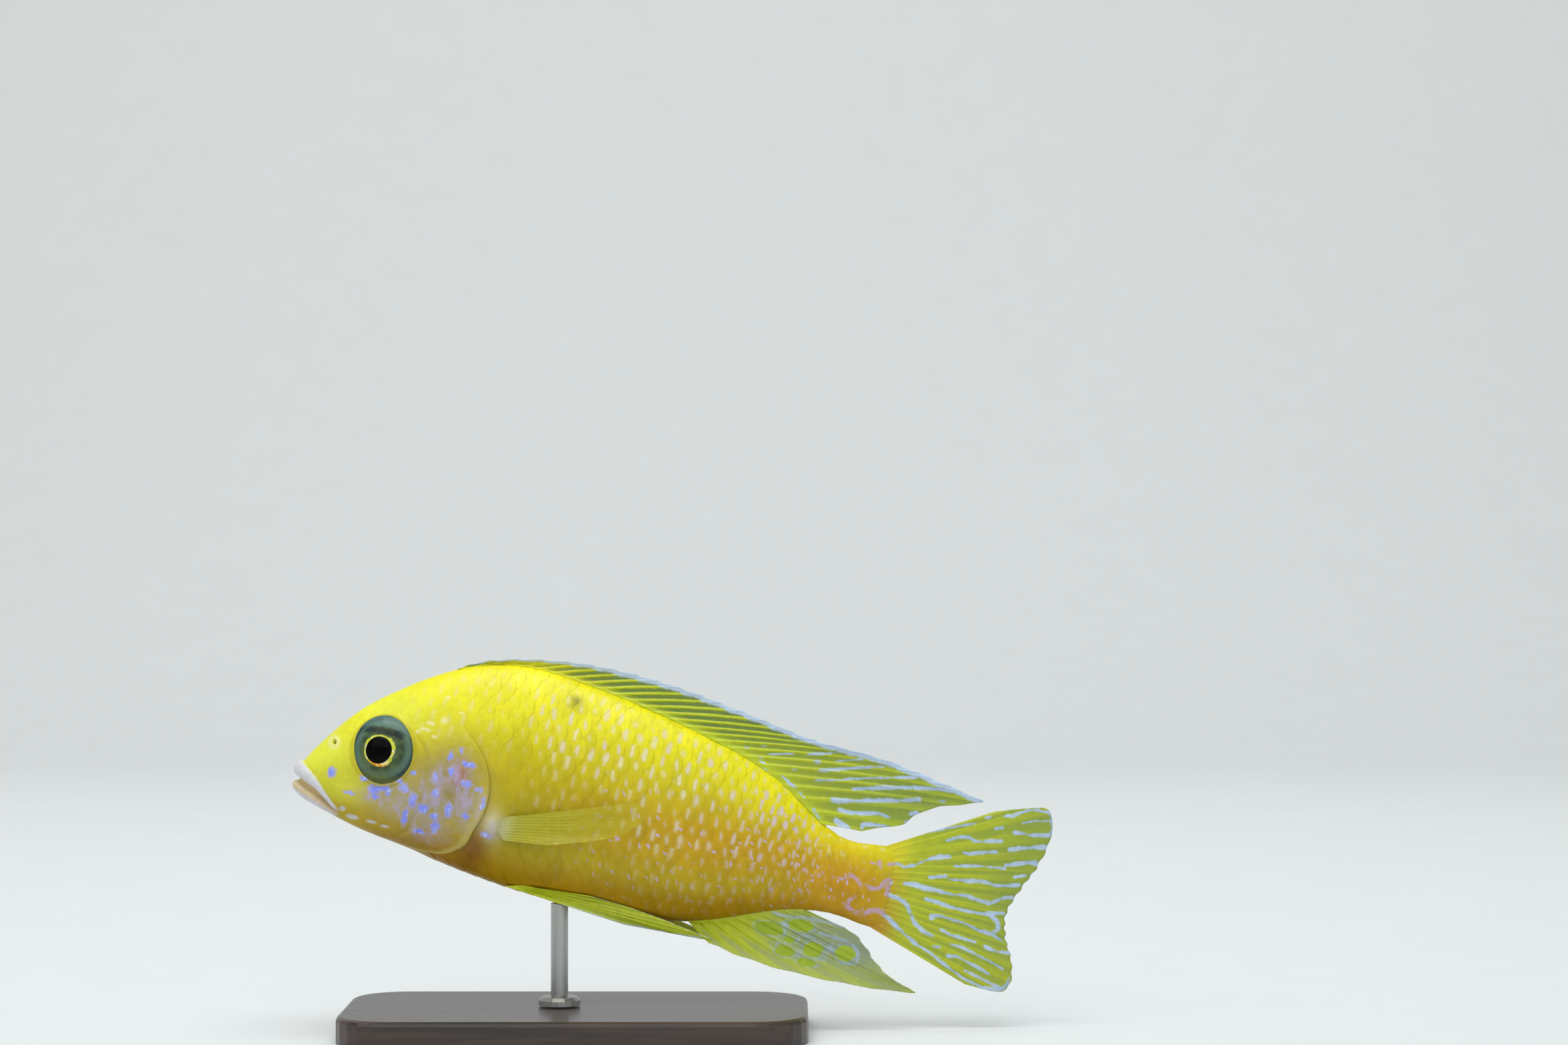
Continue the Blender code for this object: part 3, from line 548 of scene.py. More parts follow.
def skin_rings(coat):
    """Rings of points over head, gill covers, trunk and stalk, and the index of the first ring of the trunk."""
    theta = np.arange(AROUND) * 2 * math.pi / AROUND
    edge_x, free = gill_line(theta)
    rings = []
    full = body_point(SNOUT_START, theta, coat)
    middle = np.array([0, 0, full[:, 2].mean()])
    for share in np.linspace(0.06, 1, CAP_RINGS, endpoint=False):
        ring = middle + (full - middle) * share
        ring[:, 0] = SNOUT_START - SNOUT_BLUNT * (1 - share * share)
        rings.append(ring)
    shares = np.concatenate([np.linspace(low, high, count, endpoint=False) for low, high, count in HEAD_RINGS])
    for share in shares:
        x = SNOUT_START + share * (edge_x - SNOUT_START)
        ring = body_point(x, theta, coat)
        fold = math.exp(-(((share - CHEEK_FOLD_AT) / 0.012) ** 2)) - 0.5 * math.exp(
            -(((share - CHEEK_FOLD_AT - 0.03) / 0.03) ** 2)
        )
        widen = 1 + free * GILL_FLARE * share**3
        sides = 1 - (CHEEK_FOLD_DEPTH * fold * free) / body_lines(x)[:, 2]
        ring[:, 1] *= widen * sides
        rings.append(ring)
    flare = free * GILL_FLARE * body_lines(edge_x)[:, 2]
    outward = np.abs(np.sin(theta)) ** 0.9 * np.sign(np.sin(theta))
    lip = np.minimum(GILL_LIP, flare * 0.6)
    under = (
        (0.10, flare - 0.12 * lip),
        (0.16, flare - 0.5 * lip),
        (0.10, flare - 0.9 * lip),
        (-0.15, flare - lip),
        (-0.5, flare - lip),
        (-0.85, (flare - lip) * 0.55),
        (-0.7, 0 * flare),
        (-0.3, 0 * flare),
    )
    settled = edge_x + TRUNK_START
    for i, (ahead, lift) in enumerate(under):
        steady = edge_x + 0.02 * (i + 1)
        x = steady + (edge_x + ahead - steady) * free
        ring = body_point(x, theta, coat)
        ring[:, 1] += outward * lift
        rings.append(ring)
    first_trunk = len(rings)
    for share in np.linspace(0, 1, TRUNK_RINGS):
        x = settled + share * (BODY_END - settled)
        rings.append(body_point(x, theta, coat))
    for share in np.linspace(0.2, 1, 6):
        ring = body_point(BODY_END, theta, coat)
        ring[:, 0] = BODY_END + share * (SKIN_END - BODY_END)
        ring[:, 1] *= root_taper(share)
        ring[:, 2] = ring[:, 2].mean() + (ring[:, 2] - ring[:, 2].mean()) * (1 + 0.04 * share)
        rings.append(ring)
    return np.array(rings), first_trunk


def root_taper(past):
    """Share of its width that the skin keeps, a share of the way over the root of the tail fin."""
    return 1 - 0.88 * past**1.2


def ring_normals(rings):
    """Outward directions at the points of closed rings."""
    along = np.gradient(rings, axis=0)
    around = (np.roll(rings, -1, axis=1) - np.roll(rings, 1, axis=1)) / 2
    normals = np.cross(along, around)
    normals /= np.linalg.norm(normals, axis=-1, keepdims=True) + 1e-12
    return normals


def lip_shape(points):
    """How far lips and mouth push the skin out, and masks of the lips, the open mouth and the lower lip's inside."""
    x, z = points[..., 0], points[..., 2]
    middle, half_open = np.moveaxis(mouth_at(x), -1, 0)
    upper, lower, upper_proud, lower_proud = np.moveaxis(lips_at(x), -1, 0)
    fade = 1 - smooth_step(x, *MOUTH_CORNER)
    above = z - middle
    push = np.zeros(x.shape)
    lips = np.zeros(x.shape)
    under = -above - half_open
    inner = smooth_step(under, -0.2, 0.1) * (1 - smooth_step(under / lower, 0.16, 0.42)) * fade
    for reach, width, proud in ((above, upper, upper_proud), (-above, lower, lower_proud)):
        t = (reach - half_open) / width
        inside = (t > -0.25) & (t < 1.25)
        roll = np.sqrt(np.clip(1 - (2 * t - 1) ** 2, 0, 1)) ** 0.9
        groove = -0.1 * np.exp(-(((t - 1.04) / 0.05) ** 2))
        push += np.where(inside, (roll * proud + groove) * fade, 0)
        lips = np.maximum(lips, smooth_step(t, -0.1, 0.05) * (1 - smooth_step(t, 0.9, 1.02)) * fade)
    t = np.clip(np.abs(above) / np.maximum(half_open, 0.05), 0, 1)
    gap = np.sqrt(1 - t**4) * fade
    return push - MOUTH_DEPTH * gap, lips, gap, inner


def shape_skin(rings):
    """The rings with lips, eye sockets, nostrils and pores worked in, and the masks of lips and mouth."""
    normals = ring_normals(rings)
    push, lips, gap, inner = lip_shape(rings)
    push, lips, gap, inner = np.where(rings[..., 0] < 11, (push, lips, gap, inner), 0)
    away = eye_local(rings)
    near_eye = np.hypot(away[..., 0], away[..., 1]) / EYE_SEEN
    facing = np.abs(rings[..., 1]) > 1.0
    bowl = np.where(facing, 1 - smooth_step(near_eye, 0.82, 1.03), 0)
    rim = np.where(facing, np.exp(-(((near_eye - 1.1) / 0.055) ** 2)), 0)
    push = push - 1.5 * bowl + 0.16 * rim
    nostril = np.hypot(rings[..., 0] - NOSTRIL_AT[0], rings[..., 2] - NOSTRIL_AT[1]) / NOSTRIL_RADIUS
    push -= 0.55 * (1 - smooth_step(nostril, 0.5, 1.1))
    push += 0.1 * np.exp(-(((nostril - 1.5) / 0.4) ** 2))
    push -= 0.16 * reached(rings, PORES)
    base = np.exp(-(((rings[..., 0] - 35.0) / 1.6) ** 2) - ((rings[..., 2] + 0.9) / 2.8) ** 2)
    push += 0.55 * base
    ripple = np.sin(rings[..., 0] * 1.9 + 2.0 * np.sin(rings[..., 2] * 0.8)) * 0.012
    push += ripple * smooth_step(rings[..., 0], 10, 14)
    moved = rings + normals * push[..., None]
    return moved, lips, gap, inner, rim, nostril


def blend_in(colour, name, amount, shade):
    """Colours with a colour of the settings, times a shade, laid over them by an amount for each point."""
    return colour + (np.array(paint(name)) * shade - colour) * amount


def store_markings(piece, points, colour, lattice, wetness):
    """Keeps all that the skin's markings read, at points of the unshaped body."""
    store(piece, "paint", colour, "FLOAT_COLOR")
    store(piece, "lattice", lattice)
    masks = {
        "dashes": dash_strength(points),
        "flecks": fleck_strength(points),
        "lilac": spots(points, LILAC_SPOTS, 0.7),
        "pale": reached(points, PALE_SPOTS),
        "blush": reached(points, BLUSH),
        "lines": drawn(points, TAIL_LINES),
        "wetness": wetness,
    }
    for name, mask in masks.items():
        store(piece, name, mask, "FLOAT")


def make_skin():
    rings, first_trunk = skin_rings(size("coat_depth"))
    shaped, lips, gap, inner, rim, nostril = shape_skin(rings)
    count = len(rings)
    tip = shaped[0].mean(axis=0) + (-0.02, 0, 0)
    end = shaped[-1].mean(axis=0)
    points = np.concatenate([shaped.reshape(-1, 3), [tip, end]])
    faces = ring_faces(count, AROUND)
    last = (count - 1) * AROUND
    for k in range(AROUND):
        n = (k + 1) % AROUND
        faces.append((k, n, count * AROUND))
        faces.append((last + n, last + k, count * AROUND + 1))
    skin = mesh_piece("skin", points, faces, skin_material())
    flat = np.concatenate([rings.reshape(-1, 3), [rings[0].mean(axis=0), rings[-1].mean(axis=0)]])

    def column(mask, ends=(0.0, 0.0)):
        """A mask's value at each point of the skin, the two end points' last."""
        return np.append(mask.ravel(), ends)[:, None]

    trunk = np.zeros(rings.shape[:2])
    trunk[first_trunk - 3 :] = 1
    colour = painted(flat, column(trunk, (0.0, 1.0))[:, 0])
    edge_x, free = gill_line(np.arange(AROUND) * 2 * math.pi / AROUND)
    cover = np.exp(-(((edge_x - rings[..., 0] - 0.6) / 0.7) ** 2)) * free * (1 - trunk)
    cover = column(cover * (1 - smooth_step(depth_share(rings), 0.3, 0.5)))
    lips, gap = column(lips), column(gap, (1.0, 0.0))
    layers = (
        ("gill_edge", cover * 0.6, 1.0),
        ("lips", lips * 0.95, 1.0),
        ("mouth", column(inner) * 0.85, 1.0),
        ("mouth", smooth_step(gap, 0.2, 0.75) * 0.95, 1.0),
        # Darker rim round the eye socket: partly the skin's own olive, partly painted shade of the groove round the
        # eye.
        ("side", column(rim) * 0.5, 0.85),
        # Painted highlight: a pale ring round the nostril's raised rim.
        ("dash", column(np.exp(-(((nostril - 1.9) / 0.9) ** 2))) * 0.5, 1.0),
        ("gill_shade", column(1 - smooth_step(nostril, 0.4, 0.9)) * 0.8, 0.6),
        ("lips", smooth_step(reached(flat, PORES), 0.2, 0.7)[:, None] * 0.8, 1.0),
    )
    for name, amount, shade in layers:
        colour = blend_in(colour, name, amount, shade)
    lattice = lattice_of(flat, np.sign(flat[:, 1]))
    store_markings(skin, flat, colour, lattice, lips[:, 0] * 0.6 + gap[:, 0] * 0.4)
    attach(skin, "root")
    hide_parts("head", "torso", "tail_stalk")
    return skin


# The scales

SCALE_SHRINK = (62.0, 104.0, 0.62)  # from where to where they shrink, and to what share
UNWRAP = (110.0, 62.0)  # mm of body length and girth that fill the square of the bake map
BAKE_HALF = 0.42  # half a scale's patch on that map, in pitches of the scales
BAKE_MARGIN = 0.02
SCALE_ALONG = (-1.0, -0.35, 0.3, 0.72, 1.0)  # one scale's points from its root to its free edge
SCALE_ACROSS = (-1.0, -0.55, 0.0, 0.55, 1.0)


def scale_size(x):
    low, high, least = SCALE_SHRINK
    return 1 - (1 - least) * smooth_step(x, low, high)


# Lengths along the body counted in full-sized scales' pitches, in mm, for distances from the snout.
LENGTH_XS = np.linspace(0, 110, 1101)
LENGTH_RUN = np.concatenate([[0], np.cumsum(np.diff(LENGTH_XS) / scale_size(LENGTH_XS[1:]))])


def girth_table():
    """Arc length from the widest line up to the back and down to the belly, for angles at many distances."""
    xs = np.linspace(8, BODY_END, 188)
    theta = np.linspace(0, math.pi, 241)
    sections = body_point(xs[:, None], theta[None])
    steps = np.linalg.norm(np.diff(sections, axis=1), axis=-1)
    arc = np.concatenate([np.zeros((len(xs), 1)), np.cumsum(steps, axis=1)], axis=1)
    widest = arc[:, len(theta) // 2][:, None]
    return xs, theta, widest - arc


GIRTH_XS, GIRTH_THETA, GIRTH_ARC = girth_table()


def arc_at(x, theta):
    """Arc length above the widest line of the side at distance x and angle theta within 0 to pi."""
    i = np.clip((x - GIRTH_XS[0]) / (GIRTH_XS[1] - GIRTH_XS[0]), 0, len(GIRTH_XS) - 1.001)
    k = np.clip(theta / GIRTH_THETA[1], 0, len(GIRTH_THETA) - 1.001)
    i0, k0 = i.astype(int), k.astype(int)
    i, k = i - i0, k - k0
    low = GIRTH_ARC[i0, k0] * (1 - k) + GIRTH_ARC[i0, k0 + 1] * k
    high = GIRTH_ARC[i0 + 1, k0] * (1 - k) + GIRTH_ARC[i0 + 1, k0 + 1] * k
    return low * (1 - i) + high * i


def theta_at(x, arc):
    """The angle at which the side at each distance x lies an arc length above its widest line."""
    low, high = np.zeros(x.shape), np.full(x.shape, math.pi)
    for _ in range(26):
        middle = (low + high) / 2
        past = arc_at(x, middle) > arc
        low = np.where(past, middle, low)
        high = np.where(past, high, middle)
    return (low + high) / 2


def lattice_of(points, side):
    """Scale counts along and up the side at points of the fish's frame, with the side as the third value."""
    x = points[..., 0]
    belly_power = body_lines(x)[..., 3]
    share = np.clip(depth_share(points), 0.0005, 0.9995)
    up = share > GIRTH_HEIGHT
    reach = np.where(up, (share - GIRTH_HEIGHT) / (1 - GIRTH_HEIGHT), (GIRTH_HEIGHT - share) / GIRTH_HEIGHT)
    power = np.where(up, BACK_POWER, belly_power)
    c = np.clip(reach, 0, 1) ** (power / 2)
    theta = np.where(up, np.arccos(c), math.pi - np.arccos(c))
    v = arc_at(x, theta) / (size("scale_pitch") * scale_size(x))
    u = np.interp(x, LENGTH_XS, LENGTH_RUN) / size("scale_pitch")
    return np.stack([u, v, side * np.ones(u.shape)], axis=-1)


def dash_strength(points):
    """How strongly the pale dash of each scale shows, over the body."""
    x = points[..., 0]
    share = depth_share(points)
    spread = np.where(share > 0.74, 0.3, 0.16)
    upper = np.exp(-(((share - 0.74) / spread) ** 2)) * smooth_step(x, 32, 46)
    middle = 0.8 * np.exp(-(((share - 0.5) / 0.18) ** 2)) * smooth_step(x, 44, 64)
    lower = 0.36 * np.exp(-(((share - 0.28) / 0.18) ** 2)) * smooth_step(x, 50, 70)
    faint = 0.3 * np.exp(-(((share - 0.45) / 0.2) ** 2)) * smooth_step(x, 36, 44)
    nape = 0.3 * np.exp(-(((share - 0.8) / 0.2) ** 2)) * smooth_step(x, 14, 24)
    shown = np.maximum.reduce([upper, middle, lower, faint, nape]) * (1 - smooth_step(share, 0.93, 1.0))
    return np.clip(shown, 0, 1) * (1 - 0.94 * smooth_step(x, 87, 94))


def fleck_strength(points):
    """How strongly the flecks between the scales show, over the body."""
    x = points[..., 0]
    share = depth_share(points)
    flank = np.exp(-(((share - 0.42) / 0.24) ** 2)) * smooth_step(x, 42, 60)
    stalk = 0.9 * smooth_step(x, 72, 86) * (1 - smooth_step(share, 0.9, 1.0)) * (1 - smooth_step(x, 86, 95))
    return np.clip(np.maximum(flank, stalk), 0, 1)


# The lattice's columns from the first behind the head, and its rows from the belly to the back.
FIRST_COLUMN = 4
ROWS = range(-9, 12)


def scale_roots():
    """Lattice places of the scales of one side: those behind the gill cover and clear of back, belly and tail."""
    roots = []
    full = size("scale_pitch")
    last = int(np.interp(BODY_END, LENGTH_XS, LENGTH_RUN) / full)
    for column in range(FIRST_COLUMN, last + 1):
        for row in ROWS:
            u = column + 0.5 * (row % 2)
            x = float(np.interp(u * full, LENGTH_RUN, LENGTH_XS))
            if x > BODY_END - 0.8:
                continue
            pitch = full * float(scale_size(x))
            arc = row * pitch
            top, bottom = arc_at(np.array([x, x]), np.array([0.0, math.pi]))
            if arc > top - 0.2 * pitch or arc < bottom + 0.2 * pitch:
                continue
            theta = theta_at(np.array([x]), np.array([arc]))
            edge_x, free = gill_line(theta)
            if x < edge_x[0] + 0.35 * pitch * free[0]:
                continue
            roots.append((u, float(row), x, pitch, top, bottom, edge_x[0]))
    return np.array(roots)


def scale_outline():
    """Places of one scale's grid of points, from -1 at its root to 1 at its free edge and -1 to 1 across."""
    s, t = np.meshgrid(SCALE_ALONG, SCALE_ACROSS, indexing="ij")
    round_s = s * np.sqrt(1 - t * t / 2)
    round_t = t * np.sqrt(1 - s * s / 2)
    along = np.where(s < 0, s * 0.9, round_s)
    across = np.where(s < 0, t * (1 - 0.15 * s * s), round_t)
    return along, across


def make_scales(side, word):
    """The scales of one side as thin closed plates, each lying on the next one's root."""
    along, across = scale_outline()
    roots = scale_roots()
    row, x0, pitch, top, bottom = (roots[:, k, None, None] for k in range(1, 6))
    rng = np.random.default_rng(11)
    jitter = rng.normal(0, 1, (len(roots), 3))[:, :, None, None]
    length = pitch * 0.98
    height = pitch * 1.12 * (1 + 0.02 * jitter[:, 0])
    x = x0 + 0.1 * pitch + along * length
    arc = row * pitch + across * height
    arc = np.where(across > 0, np.minimum(arc, row * pitch + across * np.minimum(height, top - row * pitch)), arc)
    arc = np.where(across < 0, np.maximum(arc, row * pitch + across * np.minimum(height, row * pitch - bottom)), arc)
    shift = arc_at(np.clip(x, 8, BODY_END), np.full(x.shape, 0.0))
    floor = arc_at(np.clip(x, 8, BODY_END), np.full(x.shape, math.pi))
    theta = theta_at(np.clip(x, 8, BODY_END), np.clip(arc, floor + 0.02, shift - 0.02))
    coat, lift = size("coat_depth"), size("scale_lift")
    skin = over_skin(x, theta, coat)
    normal = side_normals(x, theta, coat)
    slope = (along + 1) / 2
    edge = np.maximum(np.abs(along), np.abs(across))
    crown = size("scale_crown") * (1 - across**2) * (1 - along**2)
    ahead = (roots[:, 2] - roots[:, 6])[:, None, None]
    lift = lift * (0.4 + 0.6 * smooth_step(ahead, 0.5, 7.0)) * (1 + 0.12 * jitter[:, 1])
    lift = lift * (1 - 0.55 * smooth_step(roots[:, 2], 84, 98)[:, None, None])
    rise = -0.08 + (lift + 0.08) * slope + crown
    thickness = np.where(edge > 0.98, 0.035, 0.06)
    upper = skin + normal * rise[..., None]
    lower = skin + normal * (rise - thickness)[..., None]
    points = np.concatenate([upper.reshape(len(roots), -1, 3), lower.reshape(len(roots), -1, 3)], axis=1)
    points[..., 1] *= side
    faces = plate_faces(len(SCALE_ALONG), len(SCALE_ACROSS))
    if side < 0:
        faces = faces[:, ::-1]
    per_plate = points.shape[1]
    all_faces = (faces[None] + np.arange(len(roots))[:, None, None] * per_plate).reshape(-1, 4)
    piece = mesh_piece(f"scales_{word}", points.reshape(-1, 3), all_faces.tolist(), scale_material(), 0.6)
    ground = skin.reshape(len(roots), -1, 3)
    ground = np.concatenate([ground, ground], axis=1).reshape(-1, 3)
    ground[:, 1] *= side
    colour = painted(ground).reshape(len(roots), -1, 3)
    colour *= 1 + 0.035 * jitter[:, 2].reshape(-1, 1, 1)
    lattice = lattice_of(ground, float(side))
    store_markings(piece, ground, colour.reshape(-1, 3), lattice, np.zeros(len(ground)))
    one = np.concatenate([edge.ravel(), edge.ravel()])
    front = np.concatenate([slope.ravel(), slope.ravel()])
    store(piece, "free_edge", np.tile(np.clip(one * front, 0, 1), len(roots)), "FLOAT")
    store(piece, "rear", smooth_step(ground[:, 0], 82, 98), "FLOAT")
    spread = BAKE_HALF / np.array(UNWRAP)
    local = np.stack([along * spread[0], across * spread[1]], axis=-1).reshape(-1, 2) * size("scale_pitch")
    local = np.concatenate([local, local * 1.06])
    home_u = BAKE_MARGIN + roots[:, 2] / UNWRAP[0] * 0.95
    homes = np.stack([home_u, 0.5 + roots[:, 1] * roots[:, 3] / UNWRAP[1]], axis=-1)
    small = (roots[:, 3] / size("scale_pitch"))[:, None, None]
    store_uv(piece, "OFBake", (homes[:, None] + local[None] * small).reshape(-1, 2))
    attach(piece, "root")
    return piece


def plate_faces(steps_along, steps_across):
    """Quads of a closed plate between an upper and a lower grid of points."""
    count = steps_along * steps_across
    faces = []
    for i in range(steps_along - 1):
        for k in range(steps_across - 1):
            a = i * steps_across + k
            quad = (a, a + 1, a + steps_across + 1, a + steps_across)
            faces += [quad, tuple(count + v for v in quad[::-1])]
    rim = list(range(steps_across))
    rim += [i * steps_across + steps_across - 1 for i in range(1, steps_along)]
    rim += [count - 1 - k for k in range(1, steps_across)]
    rim += [i * steps_across for i in range(steps_along - 2, 0, -1)]
    for i, a in enumerate(rim):
        b = rim[(i + 1) % len(rim)]
        faces.append((b, a, a + count, b + count))
    return np.array(faces)


def over_skin(x, theta, coat):
    """Points of the right side's skin, run on past the end of the body over the root of the tail fin."""
    inside = np.minimum(x, BODY_END)
    points = body_point(inside, theta, coat)
    past = np.clip((x - BODY_END) / (SKIN_END - BODY_END), 0, 1)
    points[..., 0] = x
    points[..., 1] *= root_taper(past)
    return points


def side_normals(x, theta, coat):
    """Outward directions of the right side's skin."""
    near, turn = 0.05, 0.01
    ahead = over_skin(x + near, theta, coat) - over_skin(x - near, theta, coat)
    low, high = (over_skin(x, np.clip(theta + t, 0, math.pi), coat) for t in (turn, -turn))
    normal = np.cross(ahead, low - high)
    return normal / (np.linalg.norm(normal, axis=-1, keepdims=True) + 1e-12)


# The fins

FIN_STEPS = 10  # columns of points for each space between rays
FIN_SINK = 0.9  # how far a fin's root runs on into the flesh, in mm


def seat(start, stop, side, count=7):
    """Knots (share, x, z) of a fin's root along the back (side 1) or the belly (side -1)."""
    shares = np.linspace(0, 1, count)
    x = start + (stop - start) * shares
    z = body_lines(x)[:, 0 if side > 0 else 1]
    return list(zip(shares, x, z))


def make_fin(name, colours, roots, tips, rays, rows, place, spines=0, bow=0.0, notch=0.4, ray=(0.42, 0.2),
             branch=(0.45, 0.2), ripple=0.12, sheath=0.7, edge_to=1.0):
    """A fin as one closed sheet: rays are ridges that taper, and past the spines they fork; the film sags between.

    roots and tips are knots (share, x, z) and place(x, z, share, along) is the lateral place of the sheet. notch is
    how far the film's edge falls short of the rays, ray the half thicknesses at root and tip, branch the share of the
    length where soft rays fork and how far apart their halves end, and edge_to the share up to which the edge is pale.
    """
    root_at, tip_at = curve_through(roots), curve_through(tips)
    spaces = rays - 1
    number = np.linspace(0, spaces, spaces * FIN_STEPS + 1)
    share = number / spaces
    nearest = np.round(number)
    off = np.abs(number - nearest)
    root, tip = root_at(share), tip_at(share)
    length = np.linalg.norm(tip - root, axis=1)
    along = np.concatenate([[-1.0], np.linspace(0, 1, rows - 2) ** 0.92, [1.0]])
    short = notch * np.sin(math.pi * off) ** 2 / length
    reach = along[None] * (1 - short)[:, None]
    reach[:, 0] = -FIN_SINK / length
    middle = root[:, None] + (tip - root)[:, None] * reach[..., None]
    middle[..., 1] += bow * length[:, None] * np.sin(math.pi * np.clip(along, 0, 1))
    x, z = middle[..., 0], middle[..., 1]
    a = np.clip(along, 0, 1)[None] + 0 * x
    y = place(x, z, share[:, None] + 0 * x, a)
    y = y + ripple * a**1.5 * np.sin(number[:, None] * 1.7 + 2.0 * a)
    soft = (nearest >= spines)[:, None]
    fork = branch[1] * smooth_step(a, branch[0], 1.0) * soft
    gap = np.minimum(np.abs(off[:, None] - fork), np.abs(off[:, None] + fork))
    width = 0.17 - 0.07 * a - 0.03 * (fork > 0.02)
    ridge = np.exp(-((gap / width) ** 2))
    high = ray[0] + (ray[1] - ray[0]) * a
    film = size("film_thickness") / 2
    thick = film + (high - film) * ridge
    thick = thick + (sheath - thick) * (1 - smooth_step(a, 0.0, 0.1)) * 0.8
    thick[:, -1] *= 0.35
    near = np.stack([x, y - thick, z], axis=-1)
    far = np.stack([x, y + thick, z], axis=-1)
    steps, levels = x.shape
    faces = plate_faces(steps, levels)
    points = np.concatenate([near.reshape(-1, 3), far.reshape(-1, 3)])
    piece = mesh_piece(name, points, faces.tolist(), fin_material(name, colours))
    face_outwards(piece)
    fibre = np.stack([number[:, None] + 0 * x, a, ridge], axis=-1).reshape(-1, 3)
    store(piece, "fin_place", np.concatenate([fibre, fibre]))
    flat = np.stack([x, 0 * x, z], axis=-1).reshape(-1, 3)
    flat = np.concatenate([flat, flat])
    ground = washed(flat, np.array(paint(colours["ground"])), colours["washes"])
    ground = ground + (painted(flat) - ground) * (1 - smooth_step(flat[:, :1], *colours["from_skin"]))
    store(piece, "paint", ground, "FLOAT_COLOR")
    to_edge = line_distance(flat, middle[share <= edge_to, -1][::2])
    to_edge *= np.tile(np.repeat(1 + 2.5 * (1 - smooth_step(share, 0.0, 0.3)), rows), 2)
    store(piece, "to_edge", to_edge, "FLOAT")
    store(piece, "eggs", spots(flat, EGG_SPOTS, 0.5), "FLOAT")
    store(piece, "lines", drawn(flat, colours["lines"]), "FLOAT")
    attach(piece, "root")
    return piece


def face_outwards(obj):
    """Turns a closed mesh's faces outwards."""
    shape = bmesh.new()
    shape.from_mesh(obj.data)
    bmesh.ops.recalc_face_normals(shape, faces=shape.faces)
    if shape.calc_volume(signed=True) < 0:
        bmesh.ops.reverse_faces(shape, faces=shape.faces)
    shape.to_mesh(obj.data)
    shape.free()


def upright(lean):
    """The lateral place of a fin that stands in the middle plane and leans over a little towards its edge."""
    return lambda x, z, share, along: lean * along**1.5


def make_median_fins():
    dorsal_tips = (
        (0.00, 25.7, 24.95),
        (0.04, 29.1, 26.4),
        (0.09, 34.2, 27.6),
        (0.16, 42.0, 28.75),
        (0.32, 58.0, 28.7),
        (0.48, 73.5, 26.4),
        (0.60, 86.5, 24.0),
        (0.72, 101.0, 22.8),
        (0.80, 112.0, 20.6),
        (0.84, 117.3, 19.3),
        (0.88, 113.6, 17.9),
        (0.92, 108.6, 16.2),
        (0.96, 104.3, 12.6),
        (1.00, 97.5, 10.1),
    )
    dorsal = make_fin(
        "dorsal_fin_sheet", DORSAL_COLOURS, seat(24.5, 91.2, 1, 12), dorsal_tips, rays=26, rows=34,
        place=upright(-0.6), spines=16, bow=0.012, notch=0.75, ray=(0.45, 0.24), edge_to=0.85,
    )
    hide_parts("dorsal_fin")
    anal_tips = (
        (0.0, 75.5, -13.9),
        (0.1, 80.5, -15.0),
        (0.2, 87.5, -15.9),
        (0.3, 96.0, -16.3),
        (0.4, 104.5, -16.2),
        (0.5, 112.2, -15.5),
        (0.6, 108.4, -14.0),
        (0.7, 105.4, -12.2),
        (0.8, 103.0, -9.9),
        (0.9, 100.8, -7.9),
        (1.0, 98.0, -6.7),
    )
    anal = make_fin(
        "anal_fin_sheet", ANAL_COLOURS, seat(71.5, 91.2, -1), anal_tips, rays=11, rows=44,
        place=upright(-1.0), spines=3, bow=-0.012, notch=0.5,
    )
    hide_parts("anal_fin")
    tail_roots = ((0.0, 101.8, 8.1), (0.5, 101.8, 1.2), (1.0, 101.8, -5.7))
    tail_tips = (
        (0.00, 119.5, 17.8),
        (0.03, 124.8, 19.5),
        (0.0625, 128.4, 20.1),
        (0.09, 129.9, 18.8),
        (0.125, 130.2, 15.8),
        (0.22, 129.2, 10.6),
        (0.35, 127.2, 6.2),
        (0.50, 125.3, 1.0),
        (0.65, 126.0, -3.2),
        (0.80, 127.9, -7.4),
        (0.875, 128.4, -10.2),
        (0.92, 127.9, -12.1),
        (0.96, 125.6, -12.9),
        (1.00, 120.5, -12.5),
    )
    tail = make_fin(
        "tail_fin_sheet", TAIL_COLOURS, tail_roots, tail_tips, rays=17, rows=48,
        place=upright(0.5), notch=0.3, ray=(0.25, 0.2), branch=(0.25, 0.24), sheath=0.2,
    )
    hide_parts("tail_fin")


